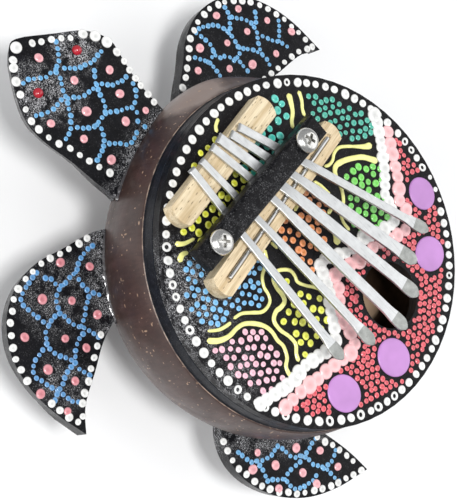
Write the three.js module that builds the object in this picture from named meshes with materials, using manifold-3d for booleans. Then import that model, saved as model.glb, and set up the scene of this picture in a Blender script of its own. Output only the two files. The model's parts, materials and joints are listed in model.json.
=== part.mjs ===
// Turtle-shaped thumb piano (mbira) on a coconut-shell resonator.
//
// Half a coconut shell is closed by a round painted soundboard. Six steel tines lie
// over two wooden bridges and are clamped between them by a pressure bar held with two
// screws. A carved wooden head and four flippers are glued to the shell.
//
// Millimetres, +Z up. The origin is the centre of the flat foot sanded under the shell.
// +Y points to the turtle's head and +X to its right-hand side.

import * as THREE from 'three';
import { mergeVertices } from 'three/addons/utils/BufferGeometryUtils.js';
import Module from 'manifold-3d';

// ---------------------------------------------------------------- driving dimensions

const GAP = 0.3; // air kept between pieces that touch

// Resonator: an ellipsoid of revolution, cut flat below and open above.
const SHELL_RADIUS = 62.5;
const SHELL_HALF_HEIGHT = 54;
const SHELL_CENTRE_Z = 51;
const SHELL_INNER_RADIUS = 59;
const SHELL_INNER_HALF_HEIGHT = 47;
const RIM_BAND_BOTTOM = 64; // the shell is sanded straight above this height
const SHELL_SEGMENTS = 48;

// Soundboard.
const BOARD_RADIUS = 60;
const BOARD_THICKNESS = 4;
const BOARD_TOP = 74;
const SOUND_HOLE_RADIUS = 11.6;
const SOUND_HOLE_CENTRE = [10.6, -31.8];

// Everything on the board is turned a little from the head-to-tail line.
const INSTRUMENT_TURN = THREE.MathUtils.degToRad(-8.5);

// Bridges, measured from the board's top face.
const BACK_BRIDGE = { centre: [-7.3, 45.7], length: 55, width: 9.2, height: 6.4, tilt: 3 };
const FRONT_BRIDGE = { centre: [-3.7, 21.7], length: 75, width: 8.8, height: 6.8, tilt: 4.2 };
const BRIDGE_END_BULGE = 1.6;
const GROOVE = { length: 67, width: 2.1, depth: 1.1 };
const ROD = { length: 64, radius: 0.75 };

// Tines: a strip of flat steel each, over the back bridge, under the bar, over the rod.
const TINE_THICKNESS = 1.2;
const TIP_THICKNESS = 0.8;
const BAR_Y = 31; // line where the bar bends each tine
const BACK_BRIDGE_FRONT_Y = 40.5;
const BEND_HALF_LENGTH = 2;
const TIP_HEIGHT = 13;
const HAMMERED_LENGTH = 9; // flattened, widened playing end
const TIP_ROUND_LENGTH = 2.2;

// Back end, crossing of the bar line and tip in plan; widths of the clamped part, of
// the playing part and of the hammered end. Listed from the turtle's right to its left.
const TINES = [
  { back: [3.6, 50.0], barX: 11.7, tip: [30.8, -23.0], widths: [2.9, 2.9, 4.8] },
  { back: [-0.3, 50.3], barX: 6.0, tip: [18.7, -26.5], widths: [3.0, 4.2, 5.4] },
  { back: [-4.8, 52.7], barX: 0.5, tip: [10.5, -34.3], widths: [3.6, 4.2, 5.4] },
  { back: [-8.9, 52.3], barX: -4.9, tip: [-1.6, -38.0], widths: [2.8, 3.8, 5.2] },
  { back: [-15.2, 51.9], barX: -14.0, tip: [-15.1, -31.8], widths: [2.5, 3.0, 5.0] },
  { back: [-20.0, 52.5], barX: -21.4, tip: [-27.8, -26.0], widths: [2.6, 2.9, 4.8] },
];

// Pressure bar, its two wood screws and the block that they bite under the board.
const BAR = { centre: [-8.4, 31.5], length: 66.4, width: 8.6, bottom: 8.05, top: 14, chamfer: 1.2 };
const SCREW_X = { left: -33.6, right: 15.6 };
const SCREW_Y = 31.5;
const SCREW = { shankRadius: 1.6, headRadius: 4.2, headHeight: 2.6, length: 25, pointLength: 4 };
const SCREW_HOLE_RADIUS = SCREW.shankRadius + GAP;
const BLOCK = { centre: [-9, 31.5], length: 59, width: 9.5, height: 8 };

// Carved limbs: flat plates glued to the shell's side.
const HEAD = { top: 46, thickness: 6.5 };
const FLIPPER = { top: 36, thickness: 6.8 };
const LIMB_CURVE_STEPS = 5; // straight steps between two points of a limb's outline
const EYE = { radius: 1.8, height: 1.4, right: [12.7, 98.9], left: [-8.8, 101.2] };

// ---------------------------------------------------------------- materials

function finish(color, roughness, metalness = 0) {
  return new THREE.MeshStandardMaterial({ color, roughness, metalness });
}

const coconut = finish('#43302a', 0.35);
const blackPaint = finish('#2a262b', 0.4);
const limbPaint = finish('#1d1b20', 0.3);
const paleWood = finish('#ecd9ab', 0.7);
const hardwood = finish('#b98a58', 0.75);
const tineSteel = finish('#cfd2d2', 0.35, 1);
const rodSteel = finish('#bfc2c4', 0.3, 1);
const screwSteel = finish('#c6c5bd', 0.3, 1);
const redPaint = finish('#c0182c', 0.2);

// ---------------------------------------------------------------- solids

const wasm = await Module();
wasm.setup();

function toManifold(geometry) {
  const bare = geometry.clone();
  bare.deleteAttribute('normal');
  bare.deleteAttribute('uv');
  const merged = mergeVertices(bare, 1e-4);
  return new wasm.Manifold(new wasm.Mesh({
    numProp: 3,
    vertProperties: new Float32Array(merged.attributes.position.array),
    triVerts: new Uint32Array(merged.index.array),
  }));
}

function toGeometry(solid) {
  const mesh = solid.getMesh();
  const geometry = new THREE.BufferGeometry();
  geometry.setAttribute('position', new THREE.BufferAttribute(mesh.vertProperties, 3));
  geometry.setIndex(new THREE.BufferAttribute(mesh.triVerts, 1));
  geometry.computeVertexNormals();
  return geometry;
}

function cut(geometry, ...tools) {
  const solid = tools.reduce((rest, tool) => rest.subtract(toManifold(tool)), toManifold(geometry));
  return toGeometry(solid);
}

// A profile of [radius, height] pairs turned about the Z axis.
function turned(profile, segments) {
  const points = profile.map(([radius, height]) => new THREE.Vector2(radius, height));
  return new THREE.LatheGeometry(points, segments).rotateX(Math.PI / 2);
}

// A plan outline raised to a flat plate that starts at the height given.
function plate(shape, bottom, thickness, curveSegments = 12) {
  const geometry = new THREE.ExtrudeGeometry(shape, { depth: thickness, bevelEnabled: false, curveSegments });
  return geometry.translate(0, 0, bottom);
}

function circle(x, y, radius) {
  return new THREE.Path().absarc(x, y, radius, 0, 2 * Math.PI, true);
}

function piece(name, geometry, material) {
  const mesh = new THREE.Mesh(geometry, material);
  mesh.name = name;
  return mesh;
}

// ---------------------------------------------------------------- resonator

// Points of an ellipse's right-hand half between two heights, both ends included.
function ellipseProfile(radius, halfHeight, fromZ, toZ, steps) {
  const angleAt = (z) => Math.asin((z - SHELL_CENTRE_Z) / halfHeight);
  const points = [];
  for (let i = 0; i <= steps; i += 1) {
    const angle = THREE.MathUtils.lerp(angleAt(fromZ), angleAt(toZ), i / steps);
    points.push([radius * Math.cos(angle), SHELL_CENTRE_Z + halfHeight * Math.sin(angle)]);
  }
  return points;
}

function coconutShell() {
  const rimTop = BOARD_TOP - BOARD_THICKNESS - GAP;
  const innerBottom = SHELL_CENTRE_Z - SHELL_INNER_HALF_HEIGHT;
  const outside = ellipseProfile(SHELL_RADIUS, SHELL_HALF_HEIGHT, 0, RIM_BAND_BOTTOM, 12);
  const inside = ellipseProfile(SHELL_INNER_RADIUS, SHELL_INNER_HALF_HEIGHT, rimTop, innerBottom, 9);
  inside[inside.length - 1][0] = 0;
  const profile = [
    [0, 0],
    ...outside,
    [BOARD_RADIUS, RIM_BAND_BOTTOM],
    [BOARD_RADIUS, rimTop],
    ...inside,
  ];
  return turned(profile, SHELL_SEGMENTS);
}

// The coconut's outside grown by the gap: limbs are cut back to it.
function limbSocket() {
  const outside = ellipseProfile(SHELL_RADIUS + GAP, SHELL_HALF_HEIGHT + GAP, 0, RIM_BAND_BOTTOM, 12);
  return turned([[0, 0], ...outside, [0, RIM_BAND_BOTTOM]], SHELL_SEGMENTS);
}

// ---------------------------------------------------------------- limbs

// A plan outline from runs of points: each run is one smooth curve, and runs meet in
// corners.
function limbOutline(...runs) {
  const shape = new THREE.Shape();
  shape.moveTo(...runs[0][0]);
  for (const run of runs) {
    shape.splineThru(run.slice(1).map(([x, y]) => new THREE.Vector2(x, y)));
  }
  return shape;
}

function carvedLimb(outline, { top, thickness }) {
  return cut(plate(outline, top - thickness, thickness, LIMB_CURVE_STEPS), limbSocket());
}

function headOutline() {
  return limbOutline(
    [[-18, 52], [17, 54]],
    [[17, 54], [18, 66], [19.4, 76], [22.4, 85], [24.3, 92], [20.6, 100.5], [12, 108.3], [4, 115.4]],
    [[4, 115.4], [-1, 118], [-6.5, 115.2]],
    [[-6.5, 115.2], [-14.5, 106.5], [-19.4, 98.5], [-20.6, 90], [-19.8, 78], [-19.8, 66], [-18, 52]],
  );
}

// side is +1 for the turtle's right and -1 for its left.
function frontFlipperOutline(side) {
  const leading = [
    [22, 50], [30, 57], [42, 62.8], [51, 67.2], [60.5, 68.8], [69.5, 67], [76.5, 62.8],
    [82.5, 56], [86.5, 46], [88, 35], [87.3, 21.5],
  ];
  const trailing = [[87.3, 21.5], [79.5, 27], [68, 30.4], [57, 33.6], [44, 34]];
  const mirrored = (run) => run.map(([x, y]) => [side * x, y]);
  return limbOutline(mirrored(leading), mirrored(trailing), mirrored([[44, 34], [22, 50]]));
}

function hindFlipperOutline(side) {
  const leading = [
    [48, -16], [57.5, -21], [63.3, -28], [65.7, -36.5], [64.8, -46], [61.4, -55],
    [55, -64], [45.5, -72], [33.4, -79],
  ];
  const trailing = [[33.4, -79], [32.6, -70], [32.8, -61], [34, -46]];
  const mirrored = (run) => run.map(([x, y]) => [side * x, y]);
  return limbOutline(mirrored(leading), mirrored(trailing), mirrored([[34, -46], [48, -16]]));
}

function eye([x, y]) {
  const { radius, height } = EYE;
  const dome = [[0, 0], [radius, 0]];
  for (const share of [0.4, 0.75, 1]) {
    const angle = share * Math.PI / 2;
    dome.push([share === 1 ? 0 : radius * Math.cos(angle), height * Math.sin(angle)]);
  }
  return turned(dome, 16).translate(x, y, HEAD.top + GAP);
}

// ---------------------------------------------------------------- soundboard

// The board is drawn in the turned frame of the parts that it carries.
function soundboard() {
  const outline = new THREE.Shape().absarc(0, 0, BOARD_RADIUS, 0, 2 * Math.PI);
  outline.holes.push(circle(...SOUND_HOLE_CENTRE, SOUND_HOLE_RADIUS));
  for (const x of Object.values(SCREW_X)) {
    outline.holes.push(circle(x, SCREW_Y, SCREW_HOLE_RADIUS));
  }
  return plate(outline, -BOARD_THICKNESS, BOARD_THICKNESS, 32);
}

// ---------------------------------------------------------------- bridges and rod

// A strip's plan, with ends that swell into shallow arcs.
function bridgeOutline(length, width) {
  const x = length / 2 - BRIDGE_END_BULGE;
  const y = width / 2;
  const bulgeX = x + 2 * BRIDGE_END_BULGE; // control point of the end's curve
  const outline = new THREE.Shape();
  outline.moveTo(-x, -y);
  outline.lineTo(x, -y);
  outline.quadraticCurveTo(bulgeX, 0, x, y);
  outline.lineTo(-x, y);
  outline.quadraticCurveTo(-bulgeX, 0, -x, -y);
  return outline;
}

function stadium(length, width) {
  const radius = width / 2;
  const x = length / 2 - radius;
  const outline = new THREE.Shape();
  outline.absarc(x, 0, radius, -Math.PI / 2, Math.PI / 2);
  outline.absarc(-x, 0, radius, Math.PI / 2, 1.5 * Math.PI);
  return outline;
}

// Moves a piece drawn at the origin to a bridge's place and tilt on the board.
function onBridge(geometry, { centre, tilt }) {
  return geometry.rotateZ(THREE.MathUtils.degToRad(tilt)).translate(...centre, 0);
}

function backBridge() {
  const { length, width, height } = BACK_BRIDGE;
  return onBridge(plate(bridgeOutline(length, width), GAP, height - GAP, 8), BACK_BRIDGE);
}

function frontBridge() {
  const { length, width, height } = FRONT_BRIDGE;
  const strip = plate(bridgeOutline(length, width), GAP, height - GAP, 8);
  const groove = plate(stadium(GROOVE.length, GROOVE.width), height - GROOVE.depth, GROOVE.depth + 1, 6);
  return onBridge(cut(strip, groove), FRONT_BRIDGE);
}

const ROD_AXIS_Z = FRONT_BRIDGE.height - GROOVE.depth + GAP + ROD.radius;

function bridgeRod() {
  const rod = new THREE.CylinderGeometry(ROD.radius, ROD.radius, ROD.length, 12).rotateZ(Math.PI / 2);
  return onBridge(rod.translate(0, 0, ROD_AXIS_Z), FRONT_BRIDGE);
}

// ---------------------------------------------------------------- tines

const TINE_Z_ON_BACK_BRIDGE = BACK_BRIDGE.height + GAP + TINE_THICKNESS / 2;
const TINE_Z_UNDER_BAR = BAR.bottom - GAP - TINE_THICKNESS / 2;
const TINE_Z_ON_ROD = ROD_AXIS_Z + ROD.radius + GAP + TINE_THICKNESS / 2;

function interpolate(knots, position) {
  const next = knots.findIndex(([at]) => at >= position);
  if (next < 0) return knots[knots.length - 1][1];
  if (next === 0) return knots[0][1];
  const [from, fromValue] = knots[next - 1];
  const [to, toValue] = knots[next];
  return THREE.MathUtils.mapLinear(position, from, to, fromValue, toValue);
}

// Where the line from the bar to the tip crosses the rod.
function rodCrossing({ barX, tip }) {
  const slope = (tip[0] - barX) / (tip[1] - BAR_Y);
  const rodSlope = Math.tan(THREE.MathUtils.degToRad(FRONT_BRIDGE.tilt));
  const [centreX, centreY] = FRONT_BRIDGE.centre;
  const y = (centreY + rodSlope * (barX - slope * BAR_Y - centreX)) / (1 - rodSlope * slope);
  return [barX + slope * (y - BAR_Y), y];
}

// A flat strip through stations of { x, y, z, width, thickness }, square to the plan
// direction given.
function strip(stations, direction) {
  const [alongX, alongY] = direction;
  const geometry = new THREE.BoxGeometry(1, 1, 1, 1, stations.length - 1, 1);
  const position = geometry.attributes.position;
  for (let i = 0; i < position.count; i += 1) {
    const index = Math.round((position.getY(i) + 0.5) * (stations.length - 1));
    const { x, y, z, width, thickness } = stations[index];
    const across = position.getX(i) * width;
    const up = position.getZ(i) * thickness;
    position.setXYZ(i, x + across * alongY, y - across * alongX, z + up);
  }
  return geometry;
}

function unit([fromX, fromY], [toX, toY]) {
  const length = Math.hypot(toX - fromX, toY - fromY);
  return [(toX - fromX) / length, (toY - fromY) / length];
}

// The part of a tine that never moves: from its back end to the rod.
function tineRoot(tine) {
  const { back, barX, widths } = tine;
  const rod = rodCrossing(tine);
  const plan = [[-back[1], back[0]], [-BAR_Y, barX], [-rod[1], rod[0]]];
  const heights = [
    [-back[1], TINE_Z_ON_BACK_BRIDGE],
    [-BACK_BRIDGE_FRONT_Y, TINE_Z_ON_BACK_BRIDGE],
    [-BAR_Y - BEND_HALF_LENGTH, TINE_Z_UNDER_BAR],
    [-BAR_Y + BEND_HALF_LENGTH, TINE_Z_UNDER_BAR],
    [-rod[1], TINE_Z_ON_ROD],
  ];
  const end = rod[1] + GAP / 2;
  const ys = [back[1], BACK_BRIDGE_FRONT_Y, BAR_Y + BEND_HALF_LENGTH, BAR_Y, BAR_Y - BEND_HALF_LENGTH, end];
  const stations = ys.map((y) => ({
    x: interpolate(plan, -y),
    y,
    z: interpolate(heights, -y),
    width: widths[0],
    thickness: TINE_THICKNESS,
  }));
  return strip(stations, unit(back, rod));
}

// The playing part, from the rod to the hammered tip.
function tineKey(tine) {
  const { tip, widths } = tine;
  const rod = rodCrossing(tine);
  const [alongX, alongY] = unit(rod, tip);
  const length = Math.hypot(tip[0] - rod[0], tip[1] - rod[1]);
  const hammered = length - HAMMERED_LENGTH;
  const round = length - TIP_ROUND_LENGTH;
  const widthKnots = [
    [0, widths[0]], [8, widths[1]], [hammered, widths[1]], [hammered + 4, widths[2]],
    [round, widths[2]], [round + 0.5 * TIP_ROUND_LENGTH, 0.87 * widths[2]],
    [round + 0.85 * TIP_ROUND_LENGTH, 0.53 * widths[2]], [length, 0.2 * widths[2]],
  ];
  const stations = widthKnots.map(([along, width]) => {
    const at = Math.max(along, GAP / 2);
    return {
      x: rod[0] + alongX * at,
      y: rod[1] + alongY * at,
      z: THREE.MathUtils.mapLinear(at, 0, length, TINE_Z_ON_ROD, TIP_HEIGHT),
      width,
      thickness: along > hammered ? TIP_THICKNESS : TINE_THICKNESS,
    };
  });
  return strip(stations, [alongX, alongY]);
}

// ---------------------------------------------------------------- bar, screws, block

function pressureBar() {
  const { centre, length, width, bottom, top, chamfer } = BAR;
  const x = length / 2 - chamfer;
  const y = width / 2 - chamfer;
  const outline = new THREE.Shape([[-x, -y], [x, -y], [x, y], [-x, y]].map(([px, py]) => (
    new THREE.Vector2(centre[0] + px, centre[1] + py)
  )));
  const blank = new THREE.ExtrudeGeometry(outline, {
    depth: top - bottom - 2 * chamfer,
    bevelThickness: chamfer,
    bevelSize: chamfer,
    bevelSegments: 2,
  }).translate(0, 0, bottom + chamfer);
  const drills = Object.values(SCREW_X).map((screwX) => (
    new THREE.CylinderGeometry(SCREW_HOLE_RADIUS, SCREW_HOLE_RADIUS, 3 * top, 16)
      .rotateX(Math.PI / 2)
      .translate(screwX, SCREW_Y, 0)
  ));
  return cut(blank, ...drills);
}

// A pan-head wood screw with a cross recess.
function screw(x) {
  const { shankRadius, headRadius, headHeight, length, pointLength } = SCREW;
  const seat = BAR.top + GAP;
  const profile = [
    [0, seat - length],
    [shankRadius, seat - length + pointLength],
    [shankRadius, seat],
    [headRadius, seat],
    [headRadius, seat + 0.45 * headHeight],
    [0.85 * headRadius, seat + 0.8 * headHeight],
    [0.5 * headRadius, seat + headHeight],
    [0, seat + headHeight],
  ];
  const slotLength = 1.2 * headRadius;
  const slotWidth = 0.24 * headRadius;
  const slot = () => new THREE.BoxGeometry(slotLength, slotWidth, headHeight);
  const slotZ = seat + headHeight;
  const body = turned(profile, 24);
  const cross = cut(body, slot().translate(0, 0, slotZ), slot().rotateZ(Math.PI / 2).translate(0, 0, slotZ));
  return cross.translate(x, SCREW_Y, 0);
}

// Hardwood strip glued under the board, which the screws are driven into.
function screwBlock() {
  const { centre, length, width, height } = BLOCK;
  const outline = new THREE.Shape([[-1, -1], [1, -1], [1, 1], [-1, 1]].map(([sideX, sideY]) => (
    new THREE.Vector2(centre[0] + sideX * length / 2, centre[1] + sideY * width / 2)
  )));
  for (const x of Object.values(SCREW_X)) {
    outline.holes.push(circle(x, SCREW_Y, SCREW_HOLE_RADIUS));
  }
  return plate(outline, -BOARD_THICKNESS - GAP - height, height, 8);
}

// ---------------------------------------------------------------- assembly

const turtle = new THREE.Group();
turtle.add(
  piece('coconut_shell', coconutShell(), coconut),
  piece('head', carvedLimb(headOutline(), HEAD), limbPaint),
  piece('eye_right', eye(EYE.right), redPaint),
  piece('eye_left', eye(EYE.left), redPaint),
);
for (const [name, side] of [['right', 1], ['left', -1]]) {
  turtle.add(
    piece(`flipper_front_${name}`, carvedLimb(frontFlipperOutline(side), FLIPPER), limbPaint),
    piece(`flipper_hind_${name}`, carvedLimb(hindFlipperOutline(side), FLIPPER), limbPaint),
  );
}

// The instrument stands on the board's top face and is turned with it.
const instrument = new THREE.Group();
instrument.position.z = BOARD_TOP;
instrument.rotation.z = INSTRUMENT_TURN;
instrument.add(
  piece('soundboard', soundboard(), blackPaint),
  piece('screw_block', screwBlock(), hardwood),
  piece('back_bridge', backBridge(), paleWood),
  piece('front_bridge', frontBridge(), paleWood),
  piece('bridge_rod', bridgeRod(), rodSteel),
  piece('pressure_bar', pressureBar(), blackPaint),
  piece('screw_left', screw(SCREW_X.left), screwSteel),
  piece('screw_right', screw(SCREW_X.right), screwSteel),
);
TINES.forEach((tine, index) => {
  instrument.add(
    piece(`tine_${index + 1}_root`, tineRoot(tine), tineSteel),
    piece(`tine_${index + 1}_key`, tineKey(tine), tineSteel),
  );
});
turtle.add(instrument);

export default turtle;
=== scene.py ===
"""Looks of the coconut-shell turtle thumb piano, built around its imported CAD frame.

Lengths in this file are millimetres in the row frame, and become metres where a mesh is made.
+Z is up, +Y points to the turtle's head and +X to its right-hand side.
"""

import json
import math
import random

import bmesh
import bpy
from mathutils import Matrix, Vector, noise
from mathutils.geometry import convex_hull_2d


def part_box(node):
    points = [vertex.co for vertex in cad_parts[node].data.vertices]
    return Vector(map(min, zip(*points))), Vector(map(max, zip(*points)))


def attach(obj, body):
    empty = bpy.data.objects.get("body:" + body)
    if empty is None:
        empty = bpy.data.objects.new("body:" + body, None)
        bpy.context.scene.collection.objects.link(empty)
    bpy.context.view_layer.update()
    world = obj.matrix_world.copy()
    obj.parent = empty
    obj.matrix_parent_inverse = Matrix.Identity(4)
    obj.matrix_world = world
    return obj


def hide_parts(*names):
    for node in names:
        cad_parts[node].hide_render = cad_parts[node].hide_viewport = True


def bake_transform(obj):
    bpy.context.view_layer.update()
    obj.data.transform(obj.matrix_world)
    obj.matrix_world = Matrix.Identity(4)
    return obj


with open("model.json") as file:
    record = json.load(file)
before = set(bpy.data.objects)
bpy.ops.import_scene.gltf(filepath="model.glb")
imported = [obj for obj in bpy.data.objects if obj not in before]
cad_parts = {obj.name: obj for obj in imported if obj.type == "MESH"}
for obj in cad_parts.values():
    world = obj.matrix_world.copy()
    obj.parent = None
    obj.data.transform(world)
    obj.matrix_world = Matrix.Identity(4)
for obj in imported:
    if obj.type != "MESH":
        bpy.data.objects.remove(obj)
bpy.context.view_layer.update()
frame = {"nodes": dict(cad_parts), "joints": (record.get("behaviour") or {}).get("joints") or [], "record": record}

MM = 0.001
BODY = "frame"


# ---- places, from the frame

def low_mm(node):
    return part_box(node)[0] / MM


def high_mm(node):
    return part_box(node)[1] / MM


BOARD_TOP = high_mm("soundboard").z
BOARD_RADIUS = (high_mm("soundboard").x - low_mm("soundboard").x) / 2
SHELL_RADIUS = (high_mm("coconut_shell").x - low_mm("coconut_shell").x) / 2
SHELL_TOP = high_mm("coconut_shell").z
HEAD_TOP = high_mm("head").z
FLIPPER_TOP = high_mm("flipper_front_left").z


def opening(name):
    """Middle of a stated opening's box, in millimetres."""
    box = next(o["box_m"] for o in frame["record"]["physics"]["openings"] if o["name"] == name)
    return (Vector(box[0]) + Vector(box[1])) / (2 * MM)


SOUND_HOLE = opening("sound_hole").xy
SOUND_HOLE_RADIUS = 11.6

# The coconut: an ellipsoid of revolution, sanded flat below and straight at the rim.
SHELL_HALF_HEIGHT = 54
SHELL_CENTRE_Z = 51
SHELL_INNER_RADIUS = 59
SHELL_INNER_HALF_HEIGHT = 47
RIM_BAND_BOTTOM = 64


def shell_radius_at(z):
    return SHELL_RADIUS * math.sqrt(1 - ((z - SHELL_CENTRE_Z) / SHELL_HALF_HEIGHT) ** 2)


# ---- camera

CAMERA_AZIMUTH = math.radians(-127.95)
CAMERA_ELEVATION = math.radians(57.08)
CAMERA_ROLL = math.radians(73.7)
CAMERA_DISTANCE = 484
CAMERA_AIM = Vector((-21.5, 26.9, BOARD_TOP))
CAMERA_LENS = 108


def linked(name, data):
    """A new object in the scene."""
    made = bpy.data.objects.new(name, data)
    bpy.context.collection.objects.link(made)
    return made


def make_camera():
    """A long lens over the turtle's left shoulder, rolled so that its head points up and left."""
    flat = math.cos(CAMERA_ELEVATION)
    back = Vector((
        math.sin(CAMERA_AZIMUTH) * flat,
        -math.cos(CAMERA_AZIMUTH) * flat,
        math.sin(CAMERA_ELEVATION),
    ))
    level_right = Vector((0, 0, 1)).cross(back).normalized()
    level_up = back.cross(level_right)
    right = math.cos(CAMERA_ROLL) * level_right + math.sin(CAMERA_ROLL) * level_up
    up = back.cross(right)
    camera = linked("camera", bpy.data.cameras.new("camera"))
    turn = Matrix((right, up, back)).transposed().to_4x4()
    camera.matrix_world = Matrix.Translation((CAMERA_AIM + CAMERA_DISTANCE * back) * MM) @ turn
    camera.data.lens = CAMERA_LENS
    camera.data.sensor_width = 36
    camera.data.clip_start = 0.01
    bpy.context.scene.camera = camera


# ---- materials

class Shader:
    """A node material on one Principled BSDF, with short names for the nodes that it uses."""

    def __init__(self, name, **constants):
        self.material = bpy.data.materials.new(name)
        self.material.use_nodes = True
        self.tree = self.material.node_tree
        self.principled = self.tree.nodes["Principled BSDF"]
        for socket, value in constants.items():
            self.principled.inputs[socket.replace("_", " ")].default_value = value
        self.place = self.tree.nodes.new("ShaderNodeTexCoord").outputs["Object"]

    def node(self, kind, **inputs):
        made = self.tree.nodes.new("ShaderNode" + kind)
        for socket, value in inputs.items():
            self.feed(made.inputs[socket.replace("_", " ")], value)
        return made

    def feed(self, socket, value):
        if isinstance(value, bpy.types.NodeSocket):
            self.tree.links.new(value, socket)
        else:
            socket.default_value = value

    def stretched(self, turn_degrees=0, scale=(1, 1, 1)):
        """The place, turned about Z and then scaled along each axis."""
        mapping = self.node("Mapping", Vector=self.place)
        mapping.vector_type = "TEXTURE"
        mapping.inputs["Scale"].default_value = [1 / s for s in scale]
        mapping.inputs["Rotation"].default_value = (0, 0, math.radians(turn_degrees))
        return mapping.outputs["Vector"]

    def noise(self, size_mm, detail=4, roughness=0.55, vector=None):
        made = self.node("TexNoise", Vector=vector or self.place, Scale=1 / (size_mm * MM),
                         Detail=detail, Roughness=roughness)
        return made.outputs["Fac"]

    def cells(self, size_mm, vector=None):
        """Distance from the nearest of a scatter of points, in cells."""
        made = self.node("TexVoronoi", Vector=vector or self.place, Scale=1 / (size_mm * MM))
        return made.outputs["Distance"]

    def vector_math(self, operation, a, b=(0, 0, 0)):
        made = self.tree.nodes.new("ShaderNodeVectorMath")
        made.operation = operation
        self.feed(made.inputs[0], a)
        made.inputs[1].default_value = b
        return made.outputs

    def fading(self, distance, inner_mm, outer_mm):
        """1 up to the inner distance, fading to 0 at the outer one."""
        share = self.math("DIVIDE", distance, outer_mm * MM)
        return self.ramp(share, (inner_mm / outer_mm, 1.0), (1.0, 0.0))

    def near(self, point_mm, radius_mm):
        """1 close to a point, fading to 0 at the radius."""
        away = self.vector_math("DISTANCE", self.place, Vector(point_mm) * MM)
        return self.fading(away["Value"], 0.35 * radius_mm, radius_mm)

    def near_axis(self, inner_mm, outer_mm):
        """1 within the inner distance from the row frame's upright axis, 0 beyond the outer."""
        flat = self.vector_math("MULTIPLY", self.place, (1, 1, 0))
        return self.fading(self.vector_math("LENGTH", flat["Vector"])["Value"], inner_mm, outer_mm)

    def ramp(self, fac, *stops):
        """Stops of (place, colour); a plain number is a grey."""
        made = self.node("ValToRGB", Fac=fac)
        elements = made.color_ramp.elements
        while len(elements) < len(stops):
            elements.new(1)
        for element, (place, colour) in zip(elements, stops):
            element.position = place
            element.color = (*colour, 1) if isinstance(colour, tuple) else (*[colour] * 3, 1)
        return made.outputs["Color"]

    def mix(self, fac, a, b):
        made = self.tree.nodes.new("ShaderNodeMix")
        made.data_type = "RGBA"
        sockets = {s.identifier: s for s in made.inputs}
        self.feed(sockets["Factor_Float"], fac)
        for identifier, value in (("A_Color", a), ("B_Color", b)):
            self.feed(sockets[identifier], (*value, 1) if isinstance(value, tuple) else value)
        return next(s for s in made.outputs if s.identifier == "Result_Color")

    def math(self, operation, a, b=0.0):
        made = self.tree.nodes.new("ShaderNodeMath")
        made.operation = operation
        self.feed(made.inputs[0], a)
        self.feed(made.inputs[1], b)
        return made.outputs["Value"]

    def colour(self, value):
        self.feed(self.principled.inputs["Base Color"], value)
        return self

    def roughness(self, value):
        self.feed(self.principled.inputs["Roughness"], value)
        return self

    def bump(self, height, depth_mm, strength=1.0):
        """Adds a height to the surface's bump; each call goes on top of the one before."""
        normal = self.principled.inputs["Normal"]
        made = self.node("Bump", Height=height, Distance=depth_mm * MM, Strength=strength)
        if normal.links:
            self.tree.links.new(normal.links[0].from_socket, made.inputs["Normal"])
        self.tree.links.new(made.outputs["Normal"], normal)
        return self


def shade(colour, factor):
    return tuple(min(1.0, c * factor) for c in colour)


# Painted light on the shell, (middle, reach): a painted sheen right of the head, and a painted pool of light
# inside it behind the sound hole.
PAINTED_SHEEN_PATCH = ((24, 59, 52), 17)
PAINTED_LIGHT_PATCH = ((20, -48.5, 30), 8.5)


def coconut_material():
    """Sanded and waxed shell: mottled dark brown, short tan fibre marks, fine pits, and a painted sheen right of
    the head.
    """
    s = Shader("coconut", Coat_Weight=0.15, Coat_Roughness=0.22, Specular_IOR_Level=0.4)
    mottle = s.noise(16, detail=7, roughness=0.6)
    base = s.ramp(mottle, (0.32, (0.036, 0.017, 0.013)), (0.55, (0.060, 0.030, 0.024)),
                  (0.75, (0.092, 0.050, 0.040)))
    fibres = s.noise(0.9, detail=3, vector=s.stretched(0, (1, 1, 0.15)))
    base = s.mix(s.ramp(fibres, (0.35, 0.45), (0.6, 0.0)), base, (0.026, 0.013, 0.011))
    # Layers of fibre marks: size, stretched place, how far a mark reaches.
    layers = [
        (2.7, s.stretched(0, (1, 1, 0.36)), 0.15),
        (2.4, s.stretched(40, (0.4, 1, 0.8)), 0.15),
        (2.4, s.stretched(-35, (0.4, 1, 0.8)), 0.14),
        (1.7, s.stretched(15, (0.7, 1, 0.5)), 0.13),
    ]
    fleck = 0.0
    for size, vector, reach in layers:
        marks = s.ramp(s.cells(size, vector), (reach * 0.5, 1.0), (reach, 0.0))
        fleck = s.math("MAXIMUM", marks, fleck)
    some = s.ramp(s.noise(6, detail=2), (0.43, 0.0), (0.56, 0.9))
    fleck = s.math("MULTIPLY", fleck, some)
    # Painted sheen: a pale patch that stands in for a reflection on the shell right of the head.
    painted_sheen = s.math("ADD", s.near(*PAINTED_SHEEN_PATCH), s.math("MULTIPLY", s.noise(5, detail=5), 0.5))
    base = s.mix(s.ramp(painted_sheen, (0.45, 0.0), (0.8, 0.9)), base, (0.25, 0.19, 0.165))
    s.colour(s.mix(fleck, base, (0.40, 0.26, 0.17)))
    s.roughness(s.ramp(s.noise(9, detail=5), (0.3, 0.36), (0.7, 0.58)))
    pits = s.ramp(s.cells(1.3), (0.0, 0.0), (0.2, 1.0))
    s.bump(pits, 0.06, 0.6)
    s.bump(mottle, 0.4, 0.5)
    s.bump(fibres, 0.05, 0.5)
    return s.material


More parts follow.
